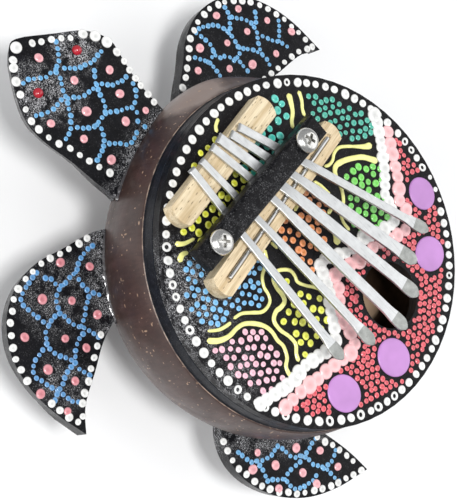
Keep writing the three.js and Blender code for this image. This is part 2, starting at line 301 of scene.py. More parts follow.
def inner_shell_material():
    """Dark raw shell inside, darkened further as painted shade, with a painted pool of light on the wall behind
    the sound hole.
    """
    s = Shader("coconut_inside", Roughness=0.85, Specular_IOR_Level=0.1)
    # Painted shade: the inside's own brown, darkened further as the shade inside the shell.
    husk_and_painted_shade = s.ramp(s.noise(6, detail=6), (0.3, (0.05, 0.028, 0.017)), (0.7, (0.11, 0.065, 0.04)))
    # Painted pool of light: a pale patch where light through the sound hole would fall on the wall.
    painted_light = s.ramp(s.near(*PAINTED_LIGHT_PATCH), (0.1, 0.0), (0.4, 1.0))
    s.colour(s.mix(painted_light, husk_and_painted_shade, (0.80, 0.56, 0.37)))
    s.bump(s.noise(1.5, detail=4), 0.2, 0.6)
    return s.material


# Where dust lies thick: (middle, reach, how thick).
LIMB_DUST = [
    ((12.7, 100, 46), 11, 1.35), ((-8.8, 101.2, 46), 13, 1.35), ((-4, 94, 46), 11, 1.0),
    ((-56, 57, 36), 18, 0.7), ((-78, 38, 36), 12, 0.8),
]
BOARD_DUST = [((-48, 33, 74), 26, 1.0), ((-56, 4, 74), 14, 0.7)]
BAR_DUST = [((-8, 35, 90), 34, 0.15)]
ROOT_DUST_REACH = (63.5, 70)  # distances from the upright axis between which the roots' dust fades
DUST_EVERYWHERE = 0.07


def black_paint(name, tint, roughness, streak_turn=0, dust=(), root_dust=0.0):
    """Hand-brushed black paint: faint streaks, and white grains of dust held in the varnish.

    dust lists the places where it lies thick; root_dust is how thick it lies where limbs meet the shell.
    """
    s = Shader(name, Coat_Weight=0.04, Coat_Roughness=0.12, Specular_IOR_Level=0.25, IOR=1.3)
    streaks = s.noise(1.2, detail=5, vector=s.stretched(streak_turn, (0.12, 1, 1)))
    base = s.mix(s.ramp(streaks, (0.35, 0.0), (0.75, 1.0)), shade(tint, 0.5), shade(tint, 1.6))
    grains = s.ramp(s.cells(0.75), (0.14, 1.0), (0.25, 0.0))
    fine = s.ramp(s.cells(0.5), (0.10, 0.7), (0.22, 0.0))
    patch = s.ramp(s.noise(3.5, detail=5, roughness=0.7), (0.40, 0.0), (0.54, 1.0))
    dusty = s.math("MULTIPLY", s.near_axis(*ROOT_DUST_REACH), root_dust)
    for middle, reach, weight in dust:
        dusty = s.math("MAXIMUM", dusty, s.math("MULTIPLY", s.near(middle, reach), weight))
    thick = s.math("MULTIPLY", s.math("ADD", dusty, DUST_EVERYWHERE), patch)
    haze = s.ramp(s.noise(0.45, detail=4, roughness=0.8), (0.50, 0.0), (0.62, 1.0))
    hazy = s.math("MULTIPLY", s.math("MULTIPLY", haze, 0.8), s.math("POWER", thick, 1.5))
    powder = s.math("MAXIMUM", s.math("MULTIPLY", s.math("MAXIMUM", grains, fine), thick), hazy)
    s.colour(s.mix(powder, base, (0.62, 0.62, 0.64)))
    s.roughness(s.ramp(s.noise(4, detail=5), (0.3, roughness * 0.7), (0.7, roughness * 1.3)))
    s.bump(streaks, 0.07, 0.6)
    s.bump(s.noise(0.6, detail=3), 0.05, 0.7)
    s.bump(powder, 0.05, 0.6)
    return s.material


def dot_paint(name, colour, roughness=0.32, ringed=True):
    """Thick acrylic: each drop a little lighter or darker, with a painted highlight in a pale ring towards its
    rim.
    """
    s = Shader(name, Coat_Weight=0.9, Coat_Roughness=0.1)
    drops = s.noise(3.2, detail=1)
    skin = s.noise(0.5, detail=3)
    base = s.ramp(drops, (0.30, shade(colour, 0.84)), (0.5, colour), (0.72, shade(colour, 1.12)))
    if ringed:
        middle = s.node("Attribute")
        middle.attribute_name = "middle"
        share = middle.outputs["Fac"]
        # Painted highlight: a pale ring just inside each drop's rim, and along the sides of the painted lines. The
        # middle and the very edge are darker.
        rim = s.ramp(share, (0.0, 0.0), (0.10, 1.0), (0.38, 0.25), (0.6, 0.0))
        pale = tuple(0.8 * c + 0.18 for c in colour)
        base = s.mix(s.math("MULTIPLY", rim, 0.75), base, pale)
        core = s.ramp(share, (0.45, 0.0), (0.95, 0.6))
        base = s.mix(core, base, shade(colour, 0.58))
        edge = s.ramp(share, (0.0, 0.7), (0.05, 0.0))
        base = s.mix(edge, base, shade(colour, 0.45))
    s.colour(base)
    s.roughness(s.ramp(skin, (0.3, roughness * 0.8), (0.7, roughness * 1.25)))
    s.bump(skin, 0.03, 0.5)
    return s.material


def disc_paint(name, colour):
    """A broad flat drop: almost even, slightly darker in soft clouds."""
    s = Shader(name, Coat_Weight=0.3, Coat_Roughness=0.2)
    s.colour(s.ramp(s.noise(11, detail=2), (0.3, shade(colour, 0.88)), (0.7, shade(colour, 1.08))))
    s.roughness(s.ramp(s.noise(0.8, detail=3), (0.3, 0.36), (0.7, 0.48)))
    s.bump(s.noise(0.7, detail=3), 0.02, 0.5)
    return s.material


def wood(name, dark, light, turn):
    """Bare wood: long fibres, faint growth bands and short dark pores along the strip."""
    s = Shader(name, Specular_IOR_Level=0.3)
    fibres = s.noise(0.5, detail=5, vector=s.stretched(turn, (0.05, 1, 1)))
    bands = s.noise(3, detail=4, vector=s.stretched(turn, (0.08, 1, 1)))
    grime = s.noise(7, detail=5)
    base = s.ramp(bands, (0.35, dark), (0.58, light))
    base = s.mix(s.ramp(fibres, (0.36, 0.5), (0.52, 0.0)), base, shade(dark, 0.75))
    base = s.mix(s.ramp(grime, (0.5, 0.0), (0.75, 0.35)), base, shade(dark, 0.7))
    pores = s.ramp(s.cells(0.85, s.stretched(turn, (0.25, 1, 1))), (0.13, 1.0), (0.24, 0.0))
    s.colour(s.mix(s.math("MULTIPLY", pores, 0.8), base, shade(dark, 0.35)))
    s.roughness(s.ramp(fibres, (0.3, 0.8), (0.7, 0.6)))
    s.bump(fibres, 0.10, 0.6)
    s.bump(s.math("SUBTRACT", 1.0, pores), 0.08, 0.5)
    return s.material


def steel(name, tint, roughness, blotch, turn=0, grain=(1, 0.05, 1)):
    """Filed steel: fine lengthwise scratches over a slightly blotched face."""
    s = Shader(name, Metallic=1.0)
    scratches = s.noise(0.35, detail=4, vector=s.stretched(turn, grain))
    clouds = s.noise(2.4, detail=4)
    base = s.ramp(clouds, (0.3, shade(tint, 1 - blotch)), (0.7, tint))
    s.colour(s.mix(s.ramp(scratches, (0.3, 0.5), (0.45, 0.0)), base, shade(tint, 0.55)))
    s.roughness(s.ramp(clouds, (0.3, roughness * 1.3), (0.7, roughness * 0.8)))
    s.bump(scratches, 0.03, 0.5)
    return s.material


def varnish_line_material():
    s = Shader("varnish_line", Coat_Weight=0.5)
    s.colour(s.ramp(s.noise(3, detail=4), (0.42, (0.05, 0.03, 0.025)), (0.62, (0.30, 0.22, 0.17))))
    s.roughness(s.ramp(s.noise(1), (0.3, 0.3), (0.7, 0.5)))
    s.bump(s.noise(0.8), 0.05, 0.6)
    return s.material


def glue_material():
    """Clear glue over black paint, full of tiny bubbles and dust."""
    s = Shader("glue", Coat_Weight=0.8, Coat_Roughness=0.08, Roughness=0.3)
    bubbles = s.ramp(s.cells(0.7), (0.0, 1.0), (0.2, 0.0))
    patch = s.ramp(s.noise(2, detail=3), (0.42, 0.0), (0.6, 1.0))
    s.colour(s.mix(s.math("MULTIPLY", bubbles, patch), (0.025, 0.022, 0.025), (0.55, 0.52, 0.5)))
    s.bump(s.noise(0.9, detail=4), 0.35, 0.8)
    return s.material


def floor_material():
    s = Shader("floor", Roughness=0.9)
    s.colour(s.ramp(s.noise(60, detail=2), (0.3, 0.86), (0.7, 0.90)))
    return s.material


# Colours of the paint drops, linear.
PAINTS = {
    "pale_yellow": (0.86, 0.84, 0.27),
    "yellow": (0.72, 0.74, 0.04),
    "turquoise": (0.045, 0.56, 0.46),
    "teal": (0.008, 0.38, 0.27),
    "lime": (0.13, 0.62, 0.05),
    "orange": (0.80, 0.26, 0.06),
    "light_blue": (0.13, 0.41, 0.71),
    "limb_blue": (0.09, 0.34, 0.62),
    "pale_pink": (0.80, 0.44, 0.53),
    "band_pink": (0.86, 0.45, 0.46),
    "limb_pink": (0.80, 0.36, 0.39),
    "limb_rose": (0.66, 0.22, 0.25),
    "limb_deep_blue": (0.07, 0.26, 0.54),
    "coral": (0.66, 0.045, 0.07),
}
WHITE = (0.76, 0.76, 0.74)
PURPLE = (0.47, 0.22, 0.53)
RED = (0.40, 0.006, 0.018)

# Turns of the instrument's parts from the head-to-tail line, in degrees.
INSTRUMENT_TURN = -8.5
BACK_BRIDGE_TURN = -5.5
FRONT_BRIDGE_TURN = -4.3


def make_materials():
    turn = INSTRUMENT_TURN
    made = {name: dot_paint(name + "_paint", colour) for name, colour in PAINTS.items()}
    made.update({
        "white": dot_paint("white_paint", WHITE, 0.42),
        "purple": disc_paint("purple_paint", PURPLE),
        "red": dot_paint("red_paint", RED, 0.2, ringed=False),
        "coconut": coconut_material(),
        "inside": inner_shell_material(),
        "board": black_paint("board_black", (0.006, 0.0055, 0.0065), 0.40, 0, BOARD_DUST),
        "band": black_paint("band_black", (0.008, 0.009, 0.013), 0.38),
        "limb": black_paint("limb_black", (0.004, 0.004, 0.0055), 0.32, 90, LIMB_DUST, 0.9),
        "bar": black_paint("bar_black", (0.004, 0.004, 0.005), 0.34, turn, BAR_DUST),
        "back_bridge": wood("back_bridge_wood", (0.54, 0.41, 0.24), (0.74, 0.63, 0.44), BACK_BRIDGE_TURN),
        "front_bridge": wood("front_bridge_wood", (0.53, 0.39, 0.22), (0.74, 0.61, 0.41), FRONT_BRIDGE_TURN),
        # Near-black wood on the sound hole's wall and on the board's underside.
        "hole": wood("hole_wood", (0.014, 0.011, 0.010), (0.03, 0.022, 0.018), 20),
        "block": wood("block_wood", (0.30, 0.15, 0.06), (0.50, 0.28, 0.12), turn),
        "steel": steel("tine_steel", (0.69, 0.70, 0.70), 0.38, 0.09, turn),
        "hammered": steel("hammered_steel", (0.45, 0.46, 0.44), 0.46, 0.3, 0, (1, 1, 1)),
        "rod": steel("rod_steel", (0.68, 0.68, 0.67), 0.30, 0.2, turn, (0.05, 1, 1)),
        "screw": steel("screw_steel", (0.80, 0.79, 0.76), 0.22, 0.4, 0, (1, 1, 1)),
        "varnish": varnish_line_material(),
        "glue": glue_material(),
    })
    return made


# ---- mesh tools

def mesh_piece(name, points, faces, materials, face_slots=None, smooth=True):
    """A new object from points in millimetres."""
    mesh = bpy.data.meshes.new(name)
    mesh.from_pydata([Vector(p) * MM for p in points], [], faces)
    for material in materials:
        mesh.materials.append(material)
    if face_slots:
        mesh.polygons.foreach_set("material_index", face_slots)
    mesh.polygons.foreach_set("use_smooth", [smooth] * len(faces))
    mesh.update()
    return linked(name, mesh)


def settle(piece, body, record_slot, *replaced):
    """Ties a piece to its body, and hides the CAD nodes that it stands for. The record slot is not used."""
    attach(piece, body)
    if replaced:
        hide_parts(*replaced)
    return piece


def even_normals(piece):
    modifier = piece.modifiers.new("even_normals", "WEIGHTED_NORMAL")
    modifier.keep_sharp = True
    return piece


def bake_modifiers(piece):
    """Makes a piece's modifiers part of its mesh."""
    bpy.context.view_layer.update()
    seen = piece.evaluated_get(bpy.context.evaluated_depsgraph_get())
    mesh = bpy.data.meshes.new_from_object(seen)
    piece.modifiers.clear()
    piece.data = mesh
    return piece


MERGE_DISTANCE = 1e-6  # metres
FLAT_ANGLE = math.radians(1)  # faces that meet at less count as one
HARD_ANGLE = math.radians(30)  # edges sharper than this are rounded


def refined(name, node, materials, edge_mm, slot_of_face=None, segments=2, undercut_mm=0):
    """A new piece with a CAD node's shape, its hard edges rounded."""
    source = bmesh.new()
    source.from_mesh(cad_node(node).data)
    bmesh.ops.remove_doubles(source, verts=source.verts, dist=MERGE_DISTANCE)
    bmesh.ops.dissolve_limit(source, angle_limit=FLAT_ANGLE, verts=source.verts, edges=source.edges)
    if undercut_mm:
        undercut(source, undercut_mm)
    sharp = [e for e in source.edges if e.is_manifold and e.calc_face_angle() > HARD_ANGLE]
    bmesh.ops.bevel(source, geom=sharp, offset=edge_mm * MM, segments=segments, profile=0.5,
                    affect="EDGES", clamp_overlap=True)
    bmesh.ops.triangulate(source, faces=[f for f in source.faces if len(f.verts) > 4])
    source.verts.index_update()
    # The operators list their faces in an order that varies from run to run, so it is fixed here.
    faces = []
    for face in source.faces:
        corners = [v.index for v in face.verts]
        first = corners.index(min(corners))
        slot = slot_of_face(face.calc_center_median() / MM, face.normal) if slot_of_face else 0
        faces.append((corners[first:] + corners[:first], slot))
    faces.sort()
    points = [v.co / MM for v in source.verts]
    source.free()
    return even_normals(mesh_piece(name, points, [f for f, _ in faces], materials, [s for _, s in faces]))


UNDERCUT_START = 0.8  # from the shell
UNDERCUT_FULL = 25  # from where it starts to where it is deepest


def undercut(source, depth_mm):
    """Draws a limb's lower outline in, more and more with the distance from the shell."""
    source.normal_update()
    bottom = min(v.co.z for v in source.verts)
    moves = {}
    for vertex in source.verts:
        place = vertex.co / MM
        reach = place.xy.length - shell_radius_at(place.z) - UNDERCUT_START
        if vertex.co.z > bottom + 0.05 * MM or reach < 0:
            continue
        walls = [f.normal for f in vertex.link_faces if abs(f.normal.z) < 0.3]
        inward = -sum(walls, Vector())
        if inward.length > 0.1:
            inward.z = 0
            # The front left flipper's pointed tip keeps its full thickness.
            tip = max(0.0, min(1.0, (place.y - 28) / 12 if place.x < 0 < place.y else 1.0))
            share = min(1.0, 0.3 + reach / UNDERCUT_FULL)
            moves[vertex] = inward.normalized() * depth_mm * tip * share * MM
    for vertex, move in moves.items():
        vertex.co += move


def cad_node(name):
    return frame["nodes"][name]


def turned(profile, segments, centre=(0, 0)):
    """Points and faces of a [radius, z] profile turned about a vertical line."""
    points, faces, rings = [], [], []
    for radius, z in profile:
        count = 1 if radius < 1e-6 else segments
        ring = []
        for i in range(count):
            angle = 2 * math.pi * i / segments
            ring.append(len(points))
            points.append((centre[0] + radius * math.cos(angle), centre[1] + radius * math.sin(angle), z))
        rings.append(ring)
    for below, above in zip(rings, rings[1:]):
        for i in range(segments):
            j = (i + 1) % segments
            corners = [ring[k % len(ring)] for ring, k in ((below, i), (below, j), (above, j), (above, i))]
            face = list(dict.fromkeys(corners))
            if len(face) > 2:
                faces.append(face)
    return points, faces


def smooth_path(controls, step_mm):
    """Evenly spaced points of a Catmull-Rom curve through plan points."""
    controls = [Vector(c) for c in controls]
    padded = controls[:1] + controls + controls[-1:]
    fine = []
    for around in zip(padded, padded[1:], padded[2:], padded[3:]):
        steps = max(2, int((around[2] - around[1]).length / 0.25))
        fine += [catmull_rom(*around, k / steps) for k in range(steps)]
    fine.append(controls[-1])
    lengths = [0.0]
    for a, b in zip(fine, fine[1:]):
        lengths.append(lengths[-1] + (b - a).length)
    pieces = max(1, round(lengths[-1] / step_mm))
    made, at = [], 0
    for k in range(pieces + 1):
        wanted = lengths[-1] * k / pieces
        while at < len(fine) - 2 and lengths[at + 1] < wanted:
            at += 1
        span = lengths[at + 1] - lengths[at] or 1.0
        made.append(fine[at].lerp(fine[at + 1], (wanted - lengths[at]) / span))
    return made


def catmull_rom(a, b, c, d, t):
    square = (2 * a - 5 * b + 4 * c - d) * t * t
    cube = (3 * b - a - 3 * c + d) * t ** 3
    return 0.5 * (2 * b + (c - a) * t + square + cube)


def inside(point, outline):
    """Whether a plan point lies inside a closed outline."""
    x, y = point
    hit = False
    for (x1, y1), (x2, y2) in zip(outline, outline[1:] + outline[:1]):
        if (y1 > y) != (y2 > y) and x < (x2 - x1) * (y - y1) / (y2 - y1) + x1:
            hit = not hit
    return hit


def footprint(node):
    """Convex outline of a CAD node seen from above."""
    points = sorted({(round(v.co.x / MM, 3), round(v.co.y / MM, 3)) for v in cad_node(node).data.vertices})
    return [points[i] for i in convex_hull_2d(points)]


# ---- paint: dots and lines

DOT_SINK = 0.08  # how far a drop's edge lies below the surface that it is painted on
# A dried drop: steep edge, a soft ring, and a dimple where its middle has sunk.
DOT_PROFILE = ((1.0, 0.0), (0.97, 0.45), (0.86, 0.85), (0.68, 1.0), (0.42, 0.92), (0.2, 0.78), (0.0, 0.74))
PITTED_PROFILE = ((1.0, 0.0), (0.97, 0.5), (0.84, 0.9), (0.66, 0.95), (0.50, 0.6), (0.42, 0.05), (0.0, -0.1))
DISC_PROFILE = ((1.0, 0.0), (0.985, 0.6), (0.95, 0.9), (0.85, 1.0), (0.6, 0.97), (0.3, 1.05), (0.0, 1.1))


class Dots:
    """Drops of one colour on one surface, gathered into a single mesh."""

    def __init__(self, name, material, record_slot, surface_z, seed):
        self.name, self.material, self.record_slot = name, material, record_slot
        self.surface_z = surface_z
        self.random = random.Random(seed)
        self.points, self.faces, self.middles, self.undersides = [], [], [], []

    def shake(self, share, reach):
        return Vector((self.random.uniform(-1, 1), self.random.uniform(-1, 1))) * share * reach

    def add(self, place, radius, height=None, profile=DOT_PROFILE):
        """One drop, a little out of round."""
        rise = height if height is not None else min(0.40 * radius, 0.25 + 0.22 * radius)
        turn = self.random.uniform(0, math.pi)
        long = radius * self.random.uniform(1.0, 1.08)
        short = radius * self.random.uniform(0.93, 1.0)
        segments = 12 if radius < 1.5 else 20 if radius < 4 else 56
        points, faces = turned([(r, rise * h) for r, h in profile], segments)
        first = len(self.points)
        for x, y, z in points:
            u, v = x * long, y * short
            self.middles.append(1 - math.hypot(x, y))
            self.points.append((
                place[0] + u * math.cos(turn) - v * math.sin(turn),
                place[1] + u * math.sin(turn) + v * math.cos(turn),
                self.surface_z - DOT_SINK + z,
            ))
        self.faces += [[first + i for i in face] for face in faces]
        self.undersides.append([first + i for i in range(segments)][::-1])

    def chain(self, controls, spacing, radius, jitter, sizes=(0.85, 1.14)):
        """Drops side by side along a curve."""
        for place in smooth_path(controls, spacing):
            wobble = self.shake(jitter, radius)
            self.add(place + wobble, radius * self.random.uniform(*sizes))

    def scatter(self, outline, spacing, radius, blocked, margin=0.0):
        """Drops spread evenly over an outline and a margin: a shaken hexagonal grid."""
        xs, ys = [p[0] for p in outline], [p[1] for p in outline]
        edge = [Vector(p) for p in outline] + [Vector(outline[0])]
        turn = Matrix.Rotation(self.random.uniform(0, math.pi / 3), 2)
        middle = Vector(((min(xs) + max(xs)) / 2, (min(ys) + max(ys)) / 2))
        reach = int(math.hypot(max(xs) - min(xs), max(ys) - min(ys)) / spacing) + 1
        for row in range(-reach, reach + 1):
            for column in range(-reach, reach + 1):
                grid = Vector((column + 0.5 * (row % 2), row * 0.866)) * spacing
                shake = self.shake(0.17, spacing)
                size = radius * self.random.uniform(0.86, 1.12)
                place = middle + turn @ grid + shake
                if not inside(place, outline) and distance_to_path(place, edge) > margin:
                    continue
                if not blocked(place, size):
                    self.add(place, size)

    def finish(self):
        piece = mesh_piece(self.name, self.points, self.faces + self.undersides, [self.material])
        flatten_last(piece, len(self.undersides))
        mark_middles(piece, self.middles)
        settle(piece, BODY, self.record_slot)


def flatten_last(piece, count):
    """Flat shading for a piece's last faces, which close it underneath, below the painted surface."""
    polygons = piece.data.polygons
    polygons.foreach_set("use_smooth", [i < len(polygons) - count for i in range(len(polygons))])
    piece.data.update()


def mark_middles(piece, middles):
    """Stores how far each point lies from its drop's rim: 0 on the rim, 1 in the middle."""
    attribute = piece.data.attributes.new("middle", "FLOAT", "POINT")
    attribute.data.foreach_set("value", middles)


RIBBON_SIDES = 8
RIBBON_STEP = 0.6
RIBBON_HEIGHT = 0.55


def ribbon(name, curves, material, record_slot, surface_z):
    """Thick painted lines: each curve is (controls, widths along it)."""
    points, faces, middles = [], [], []
    for controls, widths in curves:
        path = smooth_path(controls, RIBBON_STEP)
        first = len(points)
        last = len(path) - 1
        for i, place in enumerate(path):
            ahead = path[min(i + 1, last)] - path[max(i - 1, 0)]
            side = Vector((-ahead.y, ahead.x)).normalized()
            share = i / last * (len(widths) - 1)
            k = min(int(share), len(widths) - 2)
            width = widths[k] + (widths[k + 1] - widths[k]) * (share - k)
            end = min(i, last - i) * RIBBON_STEP / (width / 2)
            width *= math.sqrt(max(0.02, 1 - (1 - min(1.0, end)) ** 2))
            width *= 1 + 0.10 * noise.noise(Vector((place.x, place.y, 1)) * 0.8)
            for k in range(RIBBON_SIDES + 1):
                angle = math.pi * k / RIBBON_SIDES
                across = place + side * (math.cos(angle) * width / 2)
                lift = RIBBON_HEIGHT * math.sin(angle) ** 0.7 * min(1.0, 0.35 + end)
                points.append((across.x, across.y, surface_z - DOT_SINK + lift))
                middles.append(0.5 * math.sin(angle))
        row = RIBBON_SIDES + 1
        for i in range(last):
            for k in range(RIBBON_SIDES):
                a = first + i * row + k
                faces.append([a, a + 1, a + row + 1, a + row])
            faces.append([first + i * row, first + (i + 1) * row,
                          first + (i + 1) * row + RIBBON_SIDES, first + i * row + RIBBON_SIDES])
        faces.append([first + k for k in range(row)][::-1])
        faces.append([first + last * row + k for k in range(row)])
    piece = mesh_piece(name, points, faces, [material])
    mark_middles(piece, middles)
    settle(piece, BODY, record_slot)


# ---- shell and board

SHELL_TURNS = 192
OUTSIDE, BAND, LINE, INSIDE = range(4)  # slots of the shell's materials
LINE_DEPTH = 0.5  # the varnish line's width, under the black band


def make_shell(m):
    """The half coconut: glossy outside, black rim band, thin varnish line, rough inside."""
    def arc(radius, half_height, from_z, to_z, steps):
        start, end = (math.asin((z - SHELL_CENTRE_Z) / half_height) for z in (from_z, to_z))
        angles = [start + (end - start) * i / steps for i in range(steps + 1)]
        return [(radius * math.cos(a), SHELL_CENTRE_Z + half_height * math.sin(a)) for a in angles]

    outside = arc(SHELL_RADIUS, SHELL_HALF_HEIGHT, 0, RIM_BAND_BOTTOM - LINE_DEPTH, 48)
    line = [(BOARD_RADIUS + 0.55, RIM_BAND_BOTTOM - 0.35), (BOARD_RADIUS + 0.35, RIM_BAND_BOTTOM)]
    band = [(BOARD_RADIUS, RIM_BAND_BOTTOM + 0.25), (BOARD_RADIUS, SHELL_TOP - 0.3)]
    band.append((BOARD_RADIUS - 0.3, SHELL_TOP))
    cavity_floor = SHELL_CENTRE_Z - SHELL_INNER_HALF_HEIGHT
    cavity = arc(SHELL_INNER_RADIUS, SHELL_INNER_HALF_HEIGHT, SHELL_TOP, cavity_floor, 24)
    cavity[-1] = (0, cavity_floor)
    profile = [(0, 0), (outside[0][0] - 0.6, 0), (outside[0][0], 0.25)] + outside[1:] + line + band + cavity
    points, faces = turned(profile, SHELL_TURNS)
    slots = []
    for face in faces:
        middle = sum((Vector(points[i]) for i in face), Vector()) / len(face)
        radius = middle.xy.length
        slot = OUTSIDE
        if radius < BOARD_RADIUS - 1 and middle.z > 0.5:
            if radius < shell_radius_at(min(middle.z, SHELL_TOP)) - 2:
                slot = INSIDE
        elif middle.z > RIM_BAND_BOTTOM + 0.1:
            slot = BAND
        elif middle.z > RIM_BAND_BOTTOM - 0.42:
            slot = LINE
        slots.append(slot)
    shell = mesh_piece("coconut_body", [grown(p) for p in points], faces,
                       [m["coconut"], m["band"], m["varnish"], m["inside"]], slots)
    settle(even_normals(shell), BODY, "coconut", "coconut_shell")


# The fuller side lies to the right of the head.
FULL_SIDE = math.radians(63)
FULL_SIDE_SPREAD = math.radians(20)
FULL_SIDE_MM = 4.4


def grown(point):
    """A point of the lathed shell, moved out: a natural shell has long swells and one fuller side."""
    x, y, z = point
    fade = max(0.0, min(1.0, z / 8, (RIM_BAND_BOTTOM - z) / 12))
    swell = 1 - 0.007 * fade * (0.5 + 0.5 * noise.noise(Vector(point) * 0.03))
    away = (math.atan2(y, x) - FULL_SIDE) / FULL_SIDE_SPREAD
    height = max(0.0, min(1.0, (z - 12) / 20, (RIM_BAND_BOTTOM - z) / 11))
    fuller = FULL_SIDE_MM * math.exp(-away ** 2) * height * height * (3 - 2 * height)
    swell += fuller / max(math.hypot(x, y), 10)
    return (x * swell, y * swell, z)


BOARD_EDGE = 0.35  # how far the board's edges are rounded


def make_board(m):
    def slot_of_face(centre, normal):
        by_hole = (centre.xy - SOUND_HOLE).length < SOUND_HOLE_RADIUS + 0.25
        bare = normal.z < -0.5 or (by_hole and centre.z < BOARD_TOP - BOARD_EDGE)
        return 1 if bare else 0

    board = refined("painted_board", "soundboard", [m["board"], m["hole"]], BOARD_EDGE, slot_of_face)
    settle(board, BODY, "painted_board", "soundboard")


# ---- head, flippers, eyes

LIMB_EDGE = 0.5
# Each limb's node, top, undercut depth, and where its seam of glue starts and ends, in degrees.
LIMBS = {
    "head": ("head", HEAD_TOP, 2.0, 73, 109),
    "front_right": ("flipper_front_right", FLIPPER_TOP, 0.6, 33, 64),
    "front_left": ("flipper_front_left", FLIPPER_TOP, 1.2, 116, 147),
    "hind_right": ("flipper_hind_right", FLIPPER_TOP, 0.6, -58, -22),
    "hind_left": ("flipper_hind_left", FLIPPER_TOP, 0.6, -158, -122),
}
GLUE_STEP = 0.7
GLUE_THICKNESS = 0.3


def make_limbs(m):
    for node, _, depth, _, _ in LIMBS.values():
        limb = refined("painted_" + node, node, [m["limb"]], LIMB_EDGE, segments=3, undercut_mm=depth)
        settle(limb, BODY, "painted_limb", node)
    for name, (_, top, _, start, end) in LIMBS.items():
        make_glue_seam("glue_" + name, top, math.radians(start), math.radians(end), m["glue"])


def make_glue_seam(name, top, start, end, material):
    """A ragged bead of glue in the corner between a limb's top and the shell."""
    steps = int((end - start) * shell_radius_at(top) / GLUE_STEP)
    across = 7
    points, faces = [], []
    for i in range(steps + 1):
        angle = start + (end - start) * i / steps
        fade = math.sqrt(max(0.04, min(1, i / 5, (steps - i) / 5)))
        wild = noise.noise(Vector((40 * angle, top, 0.3)))
        width = (1.1 + 0.6 * wild) * fade
        height = (0.6 + 0.35 * wild) * fade
        for k in range(across + 1):
            share = k / across
            bulge = 0.25 * noise.noise(Vector((55 * angle, 3 * share, top)))
            radius = shell_radius_at(top) + 0.15 - 0.5 * (1 - share) + width * share
            lift = height * (1 - share) ** 1.6 * (1 + bulge)
            points.append((radius * math.cos(angle), radius * math.sin(angle), top - 0.15 + lift))
    row = across + 1
    for i in range(steps):
        for k in range(across):
            a = i * row + k
            faces.append([a, a + 1, a + row + 1, a + row])
    piece = mesh_piece(name, points, faces, [material])
    thick = piece.modifiers.new("thick", "SOLIDIFY")
    thick.thickness = GLUE_THICKNESS * MM
    thick.offset = -1
    settle(bake_modifiers(piece), BODY, "painted_limb")


def make_eyes(m):
    for side in ("right", "left"):
        node = "eye_" + side
        low, high = low_mm(node), high_mm(node)
        radius, height = (high.x - low.x) / 2, high.z - HEAD_TOP
        steps = 8
        profile = [(radius, HEAD_TOP - DOT_SINK)]
        for i in range(1, steps + 1):
            angle = i / steps * math.pi / 2
            profile.append((radius * math.cos(angle), HEAD_TOP + height * math.sin(angle)))
        segments = 32
        points, faces = turned(profile, segments, ((low.x + high.x) / 2, (low.y + high.y) / 2))
        eye = mesh_piece("red_" + node, points, faces + [list(range(segments))[::-1]], [m["red"]])
        flatten_last(eye, 1)
        settle(eye, BODY, "eye_paint", node)


# ---- bridges, bar, rod, screws

def make_woodwork(m):
    for node, slot, edge in (("back_bridge", "pale_wood", 0.35), ("front_bridge", "pale_wood", 0.3)):
        settle(refined("wood_" + node, node, [m[node]], edge), BODY, slot, node)
    settle(refined("black_pressure_bar", "pressure_bar", [m["bar"]], 0.35, segments=3),
           BODY, "painted_bar", "pressure_bar")
    settle(refined("inner_screw_block", "screw_block", [m["block"]], 0.4), BODY, "hardwood", "screw_block")


def make_rod(m):
    """The wire in the front bridge's groove, with slightly rounded ends."""
    low, high = low_mm("bridge_rod"), high_mm("bridge_rod")
    radius = (high.z - low.z) / 2
    start = Vector((low.x, low.y + radius, low.z + radius))
    end = Vector((high.x, high.y - radius, low.z + radius))
    points = [v.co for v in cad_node("bridge_rod").data.vertices]
    if max(points, key=lambda p: p.x).y < min(points, key=lambda p: p.x).y:
        start.y, end.y = end.y, start.y
    length = (end - start).length
    near_end = [(0, 0), (0.8 * radius, 0), (radius, 0.2)]
    far_end = [(radius, length - 0.2), (0.8 * radius, length), (0, length)]
    points, faces = turned(near_end + far_end, 24)
    aim = Vector((0, 0, 1)).rotation_difference((end - start).normalized()).to_matrix()
    rod = mesh_piece("steel_rod", [start + aim @ Vector(p) for p in points], faces, [m["rod"]])
    settle(even_normals(rod), BODY, "rod_steel", "bridge_rod")


SCREW_HEAD_RADIUS = 4.2
SCREW_SHANK_RADIUS = 1.6
SCREW_LENGTH = 25
POINT_LENGTH = 4
THREAD_PITCH = 1.6
THREAD_TURNS = 9
THREAD_CORE_RADIUS = 1.15
# Outline of the pan head, as shares of its radius and height.
SCREW_HEAD = ((0.97, 0.0), (1.0, 0.06), (1.0, 0.32), (0.97, 0.48), (0.90, 0.66),
              (0.78, 0.82), (0.62, 0.93), (0.40, 0.985), (0.0, 1.0))
# The cross recess: its arms' half length and half width, and how far it narrows downwards.
RECESS_ARM = (2.5, 0.62)
RECESS_DEPTH = 1.5
RECESS_TAPER = 0.55
RECESS_TURN = {"left": 35, "right": 12}


